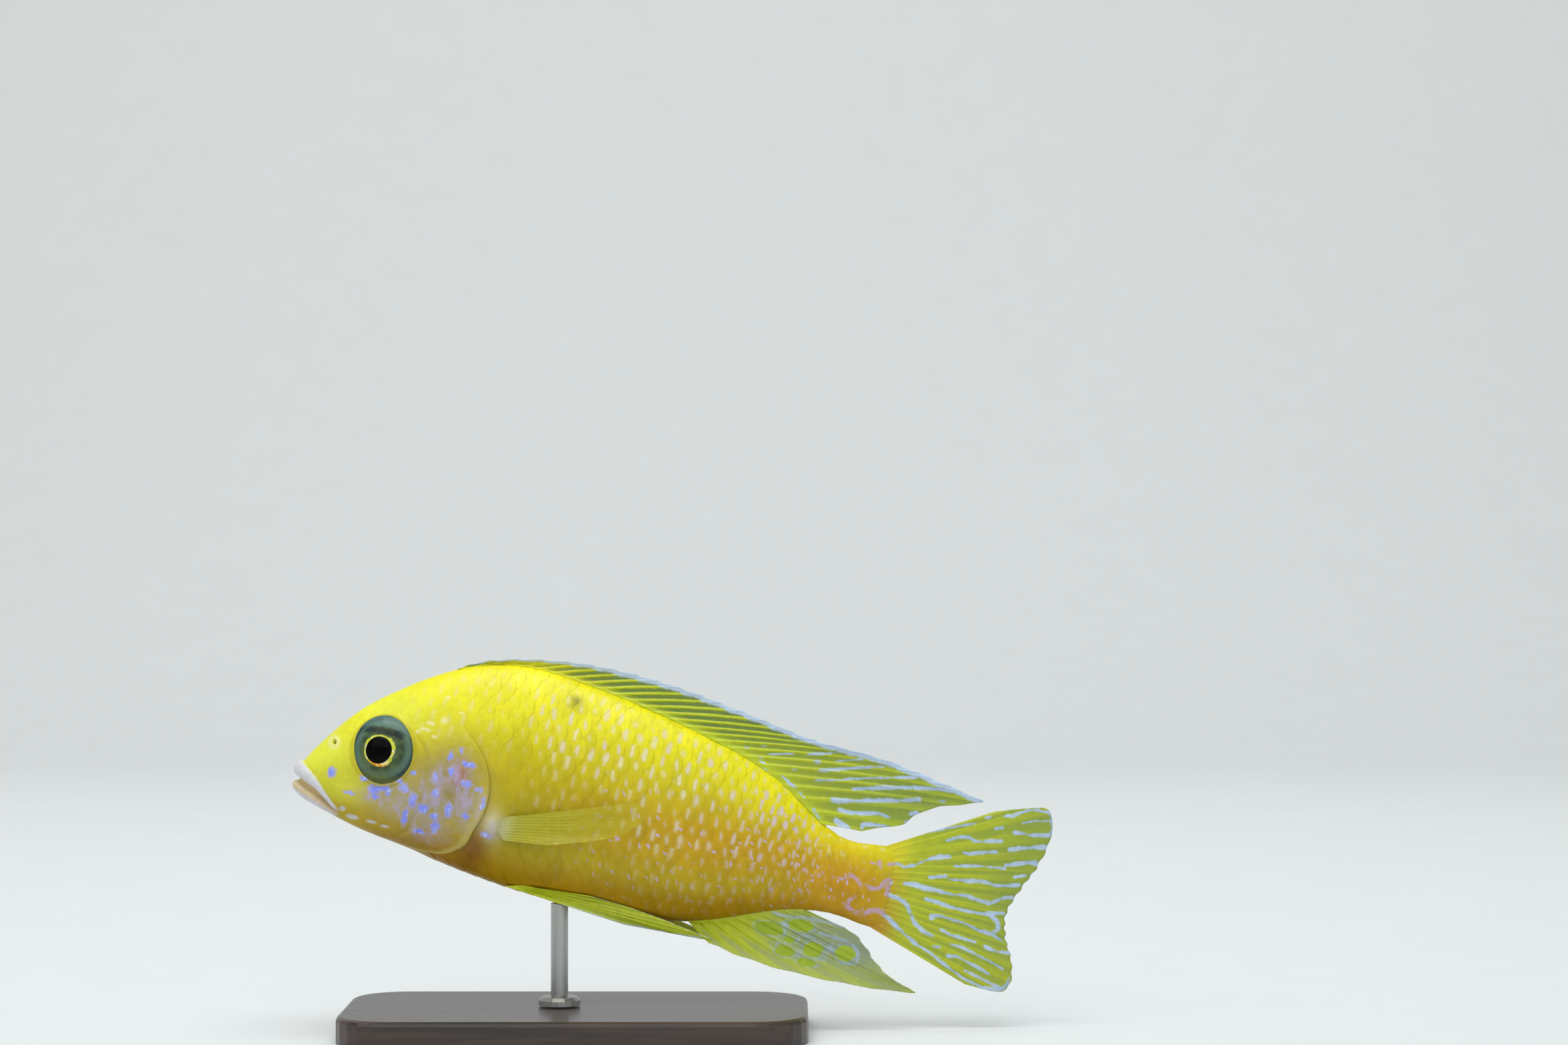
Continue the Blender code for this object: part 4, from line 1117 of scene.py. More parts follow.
def make_paired_fins():
    pectoral_roots = ((0.0, 36.5, 0.9), (0.25, 35.4, 0.1), (0.5, 35.0, -0.9), (0.75, 35.4, -2.0), (1.0, 36.8, -2.9))
    pectoral_tips = (
        (0.0, 59.0, 8.2),
        (0.2, 60.8, 7.0),
        (0.45, 60.2, 4.6),
        (0.7, 56.0, 1.6),
        (1.0, 45.5, -1.9),
    )
    pelvic_roots = ((0.0, 40.2, -11.0), (0.5, 41.7, -10.6), (1.0, 43.4, -10.1))
    pelvic_tips = (
        (0.0, 61.0, -13.4),
        (0.2, 75.8, -13.1),
        (0.4, 72.5, -12.2),
        (0.6, 67.5, -11.2),
        (0.8, 61.0, -10.2),
        (1.0, 54.0, -9.5),
    )
    for word, side in (("left", -1), ("right", 1)):

        def pectoral_place(x, z, share, along, side=side):
            return side * (half_width(x, z) - 0.5 + 1.1 * smooth_step(along, 0, 0.14) + 2.7 * along**0.9)

        def pelvic_place(x, z, share, along, side=side):
            clear = half_width(x, z) + 0.5 * smooth_step(along, 0, 0.12) - 0.1
            return side * np.maximum(3.3 + 1.2 * along * share + 0.4 * np.sin(math.pi * along), clear)

        pectoral = make_fin(
            f"pectoral_fin_{word}_sheet", PECTORAL_COLOURS, pectoral_roots, pectoral_tips, rays=12, rows=40,
            place=pectoral_place, notch=0.25, ray=(0.26, 0.13), branch=(0.4, 0.22), ripple=0.08, sheath=0.16,
        )
        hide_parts(f"pectoral_fin_{word}")
        pelvic = make_fin(
            f"pelvic_fin_{word}_sheet", PELVIC_COLOURS, pelvic_roots, pelvic_tips, rays=6, rows=44,
            place=pelvic_place, spines=1, notch=0.3, ray=(0.45, 0.2), branch=(0.3, 0.25), ripple=0.08, sheath=0.5,
        )
        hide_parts(f"pelvic_fin_{word}")


# Fin colours: ground, film between the rays, outer edge and its width in mm, drawn lines, their colour and strength,
# how strongly the film shows, where it starts along the rays and its width, how many rays it is late and how much of
# it is left at the rear, how solid film and tips are, how far the root fades in, from where to where the skin's own
# colour gives way to the fin's, and washes over its ground. What fins share stands first.
FIN_PLAIN = dict(
    ground="fins", edge="fin_margin", edge_width=0.05, streaks="fin_streaks", film_late=-6.0, film_rear=1.0,
    film_width=0.2, root_fade=0.0, from_skin=(0.0, 0.1),
)
DORSAL_COLOURS = FIN_PLAIN | dict(
    film="fin_film", edge="fin_edge", edge_width=0.8, lines=DORSAL_LINES, streak_amount=0.92, film_amount=0.85,
    film_from=-0.1, film_width=0.28, film_late=6.5, film_rear=0.5, opacity=0.88, tip_opacity=0.9,
    washes=(
        (36.0, 26.0, 12.0, 3.0, "back", 0.8),
        (104.0, 16.0, 14.0, 6.0, "fin_tips", 0.75),
        (88.0, 17.0, 10.0, 5.0, "tail", 0.6),
    ),
)
ANAL_COLOURS = FIN_PLAIN | dict(
    film="fin_grey", lines=ANAL_LINES, streak_amount=0.6, film_amount=0.35, film_from=0.15, opacity=0.8,
    tip_opacity=0.72,
    washes=(
        (92.5, -9.5, 7.0, 4.0, "fin_grey", 0.85),
        (101.5, -10.0, 7.0, 4.5, "fin_grey", 0.95),
        (108.5, -14.8, 6.0, 2.0, "fin_tips", 0.8),
    ),
)
TAIL_COLOURS = FIN_PLAIN | dict(
    ground="tail", film="fin_tips", edge="fin_edge", lines=TAIL_LINES, streak_amount=0.92, film_amount=0.6,
    film_from=0.14, opacity=0.85, tip_opacity=0.9, from_skin=(103.0, 109.0),
    washes=(
        (127.0, 5.0, 7.0, 12.0, "fin_tips", 0.75),
        (129.0, 16.0, 5.0, 4.0, "fin_tips", 0.6),
    ),
)
PECTORAL_COLOURS = FIN_PLAIN | dict(
    ground="pectoral", film="flank", edge="pectoral", streaks="dash", lines=(), streak_amount=0.0, film_amount=0.6,
    film_from=0.05, film_width=0.3, opacity=0.5, tip_opacity=0.16, root_fade=1.0,
    washes=((36.0, -0.6, 2.4, 4.0, "fin_base", 0.7),),
)
PELVIC_COLOURS = FIN_PLAIN | dict(
    film="fin_tips", streaks="fin_margin", lines=PELVIC_LINES, streak_amount=0.75, film_amount=0.5, film_from=0.1,
    opacity=0.95, tip_opacity=0.9,
    washes=((50.0, -11.4, 14.0, 0.9, "brow", 0.6),),
)
# Egg spots of the anal fin: x, z, half length, half height, in mm.
EGG_SPOTS = (
    (85.4, -9.5, 2.3, 1.2), (90.6, -7.9, 2.3, 1.15), (93.5, -11.5, 2.0, 1.5), (99.1, -11.2, 1.7, 1.4),
    (88.7, -12.7, 1.8, 1.0), (89.2, -10.7, 0.9, 0.7), (92.9, -14.0, 1.7, 0.7),
)


# Materials


def node(tree, kind, inputs=None, output=0, **settings):
    """Adds a node, sets and links its inputs, and gives one of its outputs."""
    made = tree.nodes.new(kind)
    for key, value in settings.items():
        setattr(made, key, value)
    plug(tree, made, inputs or {})
    return made.outputs[output]


def plug(tree, made, inputs):
    """Links sockets into a node's inputs, and sets plain values on them."""
    for key, value in inputs.items():
        if isinstance(value, bpy.types.NodeSocket):
            tree.links.new(value, made.inputs[key])
        else:
            made.inputs[key].default_value = value


def calc(tree, operation, a, b=0.0, clamp=False):
    return node(tree, "ShaderNodeMath", {0: a, 1: b}, operation=operation, use_clamp=clamp)


def plus(tree, a, b, clamp=False):
    return calc(tree, "ADD", a, b, clamp)


def minus(tree, a, b):
    return calc(tree, "SUBTRACT", a, b)


def times(tree, a, b):
    return calc(tree, "MULTIPLY", a, b)


def length_of(tree, a, b):
    """How far the place a, b is from the middle."""
    return calc(tree, "SQRT", plus(tree, times(tree, a, a), times(tree, b, b)))


def split(tree, vector):
    """The three parts of a vector."""
    return node(tree, "ShaderNodeSeparateXYZ", {0: vector}).node.outputs


def shaded(tree, colour, shade):
    """A colour made darker by a grey that varies over the surface."""
    grey = node(tree, "ShaderNodeCombineColor", {0: shade, 1: shade, 2: shade})
    return mix(tree, 1.0, colour, grey, "MULTIPLY")


def step(tree, value, low, high, start=0.0, stop=1.0):
    """A soft step of a value between low and high."""
    inputs = {"Value": value, "From Min": low, "From Max": high, "To Min": start, "To Max": stop}
    return node(tree, "ShaderNodeMapRange", inputs, interpolation_type="SMOOTHSTEP")


def mix(tree, amount, a, b, blend="MIX"):
    def colour(value):
        return value if isinstance(value, bpy.types.NodeSocket) else (*value, 1.0)

    return node(
        tree, "ShaderNodeMix", {0: amount, 6: colour(a), 7: colour(b)}, output=2, data_type="RGBA", blend_type=blend,
        clamp_factor=True,
    )


def attribute(tree, name, output="Fac"):
    return node(tree, "ShaderNodeAttribute", output=output, attribute_name=name)


def object_place(tree):
    return node(tree, "ShaderNodeTexCoord", output="Object")


def noise(tree, place, scale, detail=2.0, roughness=0.5, output="Fac"):
    inputs = {"Vector": place, "Scale": scale, "Detail": detail, "Roughness": roughness}
    return node(tree, "ShaderNodeTexNoise", inputs, output=output)


def new_group(name, outputs, inputs=()):
    """An empty shader group with named sockets, and its input and output nodes."""
    group = bpy.data.node_groups.new(name, "ShaderNodeTree")
    for title, kind in inputs:
        group.interface.new_socket(title, in_out="INPUT", socket_type=kind)
    for title, kind in outputs:
        group.interface.new_socket(title, in_out="OUTPUT", socket_type=kind)
    ends = group.nodes.new("NodeGroupInput"), group.nodes.new("NodeGroupOutput")
    return group, ends[0], ends[1]


def use_group(tree, group, inputs=None):
    made = tree.nodes.new("ShaderNodeGroup")
    made.node_tree = group
    plug(tree, made, inputs or {})
    return made.outputs


def cell_marks(tree, shift, seed, width, length, turn, place_off=0.15):
    """One oval mark in each cell of the scales' staggered lattice: its reach, 1 at its rim, and the cell's draws.

    width and length are half the mark's, each as (least, spread) in cells, turn is (least, spread) of its slant in
    radians from upright, and place_off how far it is drawn off the cell's middle.
    """
    u, v, side = split(tree, attribute(tree, "lattice", "Vector"))
    row = calc(tree, "ROUND", v)
    stagger = times(tree, calc(tree, "FLOORED_MODULO", row, 2.0), 0.5)
    along = minus(tree, u, plus(tree, stagger, shift))
    column = calc(tree, "ROUND", along)
    cell = node(tree, "ShaderNodeCombineXYZ", {0: column, 1: row, 2: plus(tree, side, seed)})
    chance = node(tree, "ShaderNodeTexWhiteNoise", {"Vector": cell}).node.outputs
    draws = node(tree, "ShaderNodeSeparateColor", {0: chance["Color"]}).node.outputs

    def drawn_between(draw, least, spread):
        return plus(tree, times(tree, draw, spread), least)

    across = minus(tree, v, row)
    across = plus(tree, across, drawn_between(draws[1], -place_off, 2 * place_off))
    off = minus(tree, along, column)
    off = plus(tree, off, drawn_between(draws[2], -place_off, 2 * place_off))
    angle = drawn_between(draws[0], *turn)
    sine, cosine = calc(tree, "SINE", angle), calc(tree, "COSINE", angle)
    aside = minus(tree, times(tree, off, cosine), times(tree, across, sine))
    up = plus(tree, times(tree, across, cosine), times(tree, off, sine))
    thin = calc(tree, "DIVIDE", aside, drawn_between(draws[2], *width))
    tall = calc(tree, "DIVIDE", up, drawn_between(draws[0], *length))
    wobble = noise(tree, object_place(tree), 1100.0, 2.0)
    wobble = times(tree, minus(tree, wobble, 0.5), 1.9)
    return plus(tree, length_of(tree, thin, tall), wobble), chance["Value"], draws[1], u


def scale_marks():
    """Group: the pale dash of each scale, the haze round it, and the short flecks between the scales."""
    if "scale_marks" in bpy.data.node_groups:
        return bpy.data.node_groups["scale_marks"]
    outputs = [(title, "NodeSocketFloat") for title in ("Dash", "Haze", "Fleck", "Draw", "Rear")]
    tree, _, end = new_group("scale_marks", outputs)
    reach, chance, draw, u = cell_marks(tree, 0.52, 0.0, (0.1, 0.07), (0.2, 0.3), (-0.3, 0.45))
    strength = times(tree, attribute(tree, "dashes"), step(tree, chance, 0.0, 0.6, 0.35, 1.0))
    dash = times(tree, step(tree, reach, 1.35, 0.6), strength)
    haze = times(tree, step(tree, reach, 2.9, 0.4), strength)
    reach, chance, _, _ = cell_marks(tree, 0.05, 7.0, (0.06, 0.05), (0.1, 0.12), (0.0, 3.1), 0.3)
    fleck = times(tree, step(tree, reach, 1.3, 0.6), step(tree, chance, 0.3, 0.5))
    fleck = times(tree, fleck, attribute(tree, "flecks"))
    rear = step(tree, u, 23.0, 36.0)
    plug(tree, end, {"Dash": dash, "Haze": haze, "Fleck": fleck, "Draw": draw, "Rear": rear})
    return tree


def fish_skin():
    """Group: the markings that skin and scales share, with their roughness and relief."""
    if "fish_skin" in bpy.data.node_groups:
        return bpy.data.node_groups["fish_skin"]
    tree, _, end = new_group(
        "fish_skin",
        (("Color", "NodeSocketColor"), ("Roughness", "NodeSocketFloat"), ("Height", "NodeSocketFloat")),
    )
    place = object_place(tree)
    colour = attribute(tree, "paint", "Color")
    fine = noise(tree, place, 900.0, 4.0, 0.6)
    broad = noise(tree, place, 170.0, 3.0, 0.55)
    shade = plus(tree, times(tree, fine, 0.3), times(tree, broad, 0.34))
    colour = shaded(tree, colour, plus(tree, shade, 0.68))
    patchy = noise(tree, place, 520.0, 4.0, 0.65)
    blush = times(tree, attribute(tree, "blush"), step(tree, patchy, 0.28, 0.64))
    colour = mix(tree, times(tree, blush, 0.62), colour, paint("haze"))
    columns = node(tree, "ShaderNodeMapping", {"Vector": place, "Scale": (1.0, 0.5, 0.42)})
    columns = step(tree, noise(tree, columns, 560.0, 3.0, 0.6), 0.5, 0.64)
    columns = times(tree, columns, step(tree, attribute(tree, "blush"), 0.15, 0.6))
    colour = mix(tree, times(tree, columns, 0.42), colour, paint("streaks"))
    marks = use_group(tree, scale_marks())
    colour = mix(tree, times(tree, marks["Haze"], 0.45), colour, paint("dash_haze"))
    tint = mix(tree, marks["Draw"], paint("dash"), paint("dash_low"))
    tint = mix(tree, times(tree, marks["Rear"], 0.8), tint, paint("dash_rear"))
    colour = mix(tree, times(tree, marks["Dash"], 0.78), colour, tint)
    colour = mix(tree, times(tree, marks["Fleck"], 0.85), colour, paint("dash_rear"))
    wander = noise(tree, place, 1100.0, 3.0, 0.6)
    ragged = times(tree, minus(tree, wander, 0.5), 1.5)
    near = attribute(tree, "lilac")
    torn = plus(tree, near, ragged)
    halo = times(tree, step(tree, torn, -0.3, 0.7), step(tree, near, 0.0, 0.35))
    colour = mix(tree, times(tree, halo, 0.7), colour, paint("haze"))
    lilac = times(tree, step(tree, torn, 0.1, 0.95), step(tree, near, 0.05, 0.5))
    violet = mix(tree, step(tree, broad, 0.4, 0.6), paint("lilac"), paint("lilac_light"))
    # Painted shine: pale glints in the lilac spots.
    violet = mix(tree, step(tree, wander, 0.55, 0.75), violet, paint("lilac_shine"))
    colour = mix(tree, times(tree, lilac, 0.95), colour, violet)
    near = attribute(tree, "pale")
    torn = plus(tree, near, ragged)
    pale = times(tree, step(tree, torn, 0.2, 0.9), step(tree, near, 0.1, 0.5))
    colour = mix(tree, times(tree, pale, 0.62), colour, paint("dash"))
    near = attribute(tree, "lines")
    line = times(tree, step(tree, plus(tree, near, ragged), -0.5, 0.6), step(tree, near, -1.4, -0.4))
    colour = mix(tree, times(tree, line, 0.8), colour, mix(tree, patchy, paint("line"), paint("dash_rear")))
    rough = plus(tree, times(tree, fine, 0.25), 0.34)
    rough = minus(tree, rough, times(tree, attribute(tree, "wetness"), 0.14))
    relief = plus(tree, times(tree, fine, 0.5), times(tree, lilac, 0.15))
    plug(tree, end, {"Color": colour, "Roughness": rough, "Height": relief})
    return tree


def start_material(name):
    """A fresh material, its tree and its Principled shader."""
    material = bpy.data.materials.new(name)
    material.use_nodes = True
    tree = material.node_tree
    return material, tree, tree.nodes["Principled BSDF"]


def bump(tree, height, strength, distance):
    """A normal that stands for a relief, its depth in metres."""
    inputs = {"Height": height, "Strength": strength, "Distance": distance}
    return node(tree, "ShaderNodeBump", inputs, output="Normal")


# The satin gloss that skin and scales share.
SKIN_GLOSS = {"Specular IOR Level": 0.25, "Coat Weight": 0.12, "Coat Roughness": 0.2}


def skin_material():
    if "cichlid_skin" in bpy.data.materials:
        return bpy.data.materials["cichlid_skin"]
    material, tree, shader = start_material("cichlid_skin")
    skin = use_group(tree, fish_skin())
    place = object_place(tree)
    cells = node(tree, "ShaderNodeTexVoronoi", {"Vector": place, "Scale": 900.0}, feature="DISTANCE_TO_EDGE")
    height = plus(tree, skin["Height"], times(tree, step(tree, cells, 0.0, 0.3), 0.2))
    plug(tree, shader, {"Base Color": skin["Color"], "Roughness": skin["Roughness"]})
    plug(tree, shader, {"Normal": bump(tree, height, 0.5, 0.00004)} | SKIN_GLOSS)
    return material


def scale_material():
    if "cichlid_scales" in bpy.data.materials:
        return bpy.data.materials["cichlid_scales"]
    material, tree, shader = start_material("cichlid_scales")
    skin = use_group(tree, fish_skin())
    # Darker free edges: partly the scales' own darker rims, partly painted shadow of their lifted edges.
    edge = step(tree, attribute(tree, "free_edge"), 0.72, 1.0)
    edge = times(tree, edge, minus(tree, 0.32, times(tree, attribute(tree, "rear"), 0.2)))
    colour = mix(tree, edge, skin["Color"], paint("shoulder"))
    plug(tree, shader, {"Base Color": colour, "Roughness": skin["Roughness"]})
    plug(tree, shader, {"Normal": bump(tree, skin["Height"], 0.4, 0.00003)} | SKIN_GLOSS)
    return material


# What a fin's material takes from its table of colours.
FIN_TONES = ("film", "edge", "streaks")
FIN_NUMBERS = (
    "streak_amount", "edge_width", "film_amount", "film_from", "film_width", "film_late", "film_rear", "opacity",
    "tip_opacity", "root_fade",
)


def fin_film():
    """Group: colour, opacity, roughness and relief of a fin from its rays, film, edge, streaks and egg spots."""
    if "fin_film" in bpy.data.node_groups:
        return bpy.data.node_groups["fin_film"]
    inputs = [(title, "NodeSocketColor") for title in FIN_TONES]
    inputs += [(title, "NodeSocketFloat") for title in FIN_NUMBERS]
    outputs = [("Color", "NodeSocketColor")]
    outputs += [(title, "NodeSocketFloat") for title in ("Alpha", "Roughness", "Height")]
    tree, start, end = new_group("fin_film", outputs, inputs)
    given = start.outputs
    number, along, ridge = split(tree, attribute(tree, "fin_place", "Vector"))
    place = object_place(tree)
    fine = noise(tree, place, 1100.0, 3.0)
    broad = noise(tree, place, 300.0, 3.0)
    space = calc(tree, "FLOOR", number)
    middle = minus(tree, minus(tree, number, space), 0.5)
    thread = node(tree, "ShaderNodeCombineXYZ", {0: times(tree, number, 0.7), 1: along})
    sway = minus(tree, noise(tree, thread, 9.0, 2.0), 0.5)
    off = calc(tree, "ABSOLUTE", plus(tree, middle, times(tree, sway, 0.25)))
    grown = step(tree, minus(tree, along, given["film_from"]), 0.0, 0.35)
    grown = times(tree, grown, step(tree, minus(tree, number, given["film_late"]), -5.0, 0.5))
    width = times(tree, given["film_width"], plus(tree, times(tree, grown, 0.7), 0.3))
    film = step(tree, minus(tree, off, width), 0.07, -0.05)
    film = times(tree, film, grown)
    left = times(tree, step(tree, number, 14.0, 20.0), minus(tree, 1.0, given["film_rear"]))
    shown = times(tree, given["film_amount"], minus(tree, 1.0, left))
    shown = times(tree, film, shown)
    colour = mix(tree, shown, attribute(tree, "paint", "Color"), given["film"])
    uneven = plus(tree, times(tree, fine, 1.1), times(tree, broad, 2.4))
    line = plus(tree, attribute(tree, "lines"), minus(tree, uneven, 1.95))
    streak = times(tree, step(tree, line, -0.35, 0.4), given["streak_amount"])
    tint = mix(tree, times(tree, step(tree, broad, 0.4, 0.65), 0.7), given["streaks"], paint("fin_edge"))
    colour = mix(tree, streak, colour, tint)
    egg = plus(tree, attribute(tree, "eggs"), times(tree, minus(tree, broad, 0.5), 1.2))
    inside = step(tree, attribute(tree, "eggs"), 0.05, 0.2)
    yolk = times(tree, step(tree, egg, 0.4, 0.65), inside)
    ring = times(tree, step(tree, egg, 0.05, 0.3), inside)
    colour = mix(tree, times(tree, ring, 0.3), colour, paint("fin_streaks"))
    colour = mix(tree, yolk, colour, paint("eggs"))
    ragged = times(tree, minus(tree, fine, 0.5), 0.5)
    margin = minus(tree, attribute(tree, "to_edge"), ragged)
    edge = step(tree, calc(tree, "DIVIDE", margin, given["edge_width"]), 1.3, 0.7)
    colour = mix(tree, edge, colour, given["edge"])
    colour = shaded(tree, colour, plus(tree, times(tree, fine, 0.3), 0.85))
    solid = step(tree, along, 0.0, 1.0, 1.0, 0.0)
    solid = times(tree, solid, minus(tree, given["opacity"], given["tip_opacity"]))
    solid = plus(tree, solid, given["tip_opacity"])
    rays = minus(tree, 1.0, times(tree, film, 0.6))
    base = step(tree, along, 0.02, 0.16, 1.0, 0.0)
    marks = calc(tree, "MAXIMUM", calc(tree, "MAXIMUM", streak, edge), calc(tree, "MAXIMUM", yolk, base))
    strong = times(tree, times(tree, rays, 0.35), minus(tree, 1.0, along))
    solid = calc(tree, "MAXIMUM", plus(tree, solid, strong, True), times(tree, marks, 0.95))
    clear = times(tree, given["root_fade"], step(tree, along, 0.14, 0.0))
    solid = times(tree, solid, minus(tree, 1.0, clear))
    rough = plus(tree, times(tree, fine, 0.2), 0.34)
    rings = calc(tree, "SINE", times(tree, along, 190.0))
    rings = times(tree, times(tree, rings, ridge), 0.25)
    plug(tree, end, {"Color": colour, "Alpha": solid, "Roughness": rough, "Height": plus(tree, fine, rings)})
    return tree


def fin_material(name, colours):
    material, tree, shader = start_material(name.replace("_sheet", "") + "_film")
    inputs = {title: (*paint(colours[title]), 1.0) for title in FIN_TONES}
    inputs.update({title: colours[title] for title in FIN_NUMBERS})
    fin = use_group(tree, fin_film(), inputs)
    plug(tree, shader, {"Base Color": fin["Color"], "Alpha": fin["Alpha"], "Roughness": fin["Roughness"]})
    plug(tree, shader, {"Normal": bump(tree, fin["Height"], 0.4, 0.00004)})
    plug(tree, shader, {"Coat Weight": 0.15, "Coat Roughness": 0.25})
    return material


def eye_material():
    """Black pupil, thin gold ring and a broad grey-teal iris, under a clear coat."""
    material, tree, shader = start_material("eye_glass")
    back, up, _ = split(tree, attribute(tree, "eye_place", "Vector"))
    place = object_place(tree)
    fine = noise(tree, place, 1500.0, 4.0, 0.6)
    broad = noise(tree, place, 420.0, 3.0)
    right = minus(tree, back, PUPIL_OFF[0])
    high = minus(tree, up, PUPIL_OFF[1])
    reach = length_of(tree, right, high)
    whole = length_of(tree, back, up)
    iris = mix(tree, step(tree, broad, 0.35, 0.65), paint("iris_dark"), paint("iris"))
    iris = mix(tree, times(tree, step(tree, whole, 3.6, 4.6), 0.8), iris, paint("iris_rim"))
    # Painted shadow of the groove round the eye: a dark line at the eyeball's outer edge.
    iris = mix(tree, times(tree, step(tree, whole, 4.8, 5.3), 0.85), iris, paint("iris_groove_shadow"))
    sway = times(tree, minus(tree, broad, 0.5), 1.2)
    wavy = plus(tree, high, sway)
    arch = plus(tree, wavy, times(tree, times(tree, right, right), 0.025))
    # Painted reflection: the dark band arched over the pupil.
    upper = times(tree, step(tree, arch, 2.55, 3.05), step(tree, arch, 4.4, 3.5))
    upper = times(tree, upper, times(tree, step(tree, whole, 5.0, 4.5), step(tree, right, 4.1, 3.2)))
    iris = mix(tree, times(tree, step(tree, arch, 3.9, 4.3), 0.5), iris, paint("iris_top"))
    iris = mix(tree, times(tree, upper, 0.72), iris, paint("iris_band_reflection"))
    iris = mix(tree, times(tree, step(tree, up, -3.4, -5.0), 0.6), iris, paint("iris_low"))
    iris = mix(tree, times(tree, step(tree, fine, 0.55, 0.72), 0.4), iris, paint("iris_low"))
    turn = plus(tree, reach, times(tree, minus(tree, broad, 0.5), 1.6))
    turn = minus(tree, turn, times(tree, step(tree, right, 0.5, 2.5), 0.25))
    # Painted glint: the ring's lower part turns orange.
    gold = mix(tree, step(tree, high, -1.6, -2.5), paint("ring"), paint("ring_glint"))
    gold = mix(tree, step(tree, fine, 0.5, 0.65), gold, paint("dash"))
    gold_ring = step(tree, turn, 2.82, 2.55)
    iris = mix(tree, gold_ring, iris, gold)
    radius = size("pupil_radius")
    pupil = step(tree, reach, radius + 0.06, radius - 0.06)
    colour = mix(tree, pupil, iris, paint("pupil"))
    plug(tree, shader, {"Base Color": colour, "Roughness": plus(tree, times(tree, fine, 0.25), 0.1)})
    plug(tree, shader, {"Normal": bump(tree, fine, 0.25, 0.00003), "Specular IOR Level": 0.05})
    plug(tree, shader, {"Coat Weight": plus(tree, times(tree, pupil, -0.2), 0.24), "Coat Roughness": 0.03})
    return material


def stretched(tree, scale):
    """The object's coordinates with a scale for each direction."""
    return node(tree, "ShaderNodeMapping", {"Vector": object_place(tree), "Scale": scale})


def base_material():
    """Dark moulded plastic with a fine, wood-like grain."""
    material, tree, shader = start_material("stand_base_lacquer")
    grain = noise(tree, stretched(tree, (14.0, 190.0, 190.0)), 1.6, 6.0, 0.6)
    pores = noise(tree, stretched(tree, (90.0, 1500.0, 1500.0)), 1.0, 2.0)
    colour = mix(tree, step(tree, grain, 0.3, 0.7), paint("base_dark"), paint("base"))
    colour = mix(tree, times(tree, step(tree, pores, 0.58, 0.72), 0.6), colour, paint("base_dark"))
    plug(tree, shader, {"Base Color": colour, "Roughness": plus(tree, times(tree, grain, 0.2), 0.3)})
    plug(tree, shader, {"Normal": bump(tree, minus(tree, grain, pores), 0.25, 0.00008)})
    plug(tree, shader, {"Coat Weight": 0.3, "Coat Roughness": 0.15})
    return material


def rod_material():
    """Brushed steel, its lines running up the rod."""
    material, tree, shader = start_material("stand_rod_steel")
    lines = noise(tree, stretched(tree, (2600.0, 2600.0, 60.0)), 1.0, 3.0)
    colour = mix(tree, lines, paint("steel_dark"), paint("steel"))
    plug(tree, shader, {"Base Color": colour, "Roughness": plus(tree, times(tree, lines, 0.25), 0.22)})
    plug(tree, shader, {"Normal": bump(tree, lines, 0.3, 0.00002), "Metallic": 1.0})
    return material


def stage_material():
    material, tree, shader = start_material("studio_paper")
    grain = noise(tree, object_place(tree), 60.0, 3.0)
    colour = mix(tree, times(tree, grain, 0.06), paint("paper"), paint("steel_dark"))
    plug(tree, shader, {"Base Color": colour, "Roughness": 0.9})
    return material


# Eyes, stand and stage


def make_eye(word, side):
    """A flattened ball with its pupil a low dome, set in the skin's socket."""
    bpy.ops.object.select_all(action="DESELECT")
    bpy.ops.mesh.primitive_uv_sphere_add(segments=96, ring_count=96, radius=1.0)
    obj = bpy.context.object
    obj.name = f"eye_{word}_ball"
    middle, back, up, out = eye_frame()
    points = np.array([vertex.co for vertex in obj.data.vertices])
    local = points * (EYE_RADIUS, EYE_RADIUS, EYE_HALF_DEPTH)
    reach = np.hypot(local[:, 0] - PUPIL_OFF[0], local[:, 1] - PUPIL_OFF[1])
    front = local[:, 2] > 0
    radius = size("pupil_radius")
    lens = 0.34 * np.sqrt(np.clip(1 - (reach / radius) ** 2, 0, 1))
    ring = 0.06 * np.exp(-(((reach - radius - 0.3) / 0.25) ** 2))
    local[:, 2] += np.where(front, lens + ring - 0.1, 0)
    place = middle + local @ np.array([back, up, out])
    place[:, 1] *= side
    obj.data.vertices.foreach_set("co", posed(place).ravel())
    obj.data.materials.clear()
    obj.data.materials.append(bpy.data.materials.get("eye_glass") or eye_material())
    obj.data.polygons.foreach_set("use_smooth", [True] * len(obj.data.polygons))
    store(obj, "eye_place", local)
    face_outwards(obj)
    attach(obj, "root")
    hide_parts(f"eye_{word}")


RIM_ROUNDS = 12  # times the fold's reach is fitted to the eyeball
SKIN_ROUNDS = 5  # times each of its places is laid on the skin
RIM_REACH = (4.9, 6.0)  # its least and greatest reach from the middle of the eye, in mm


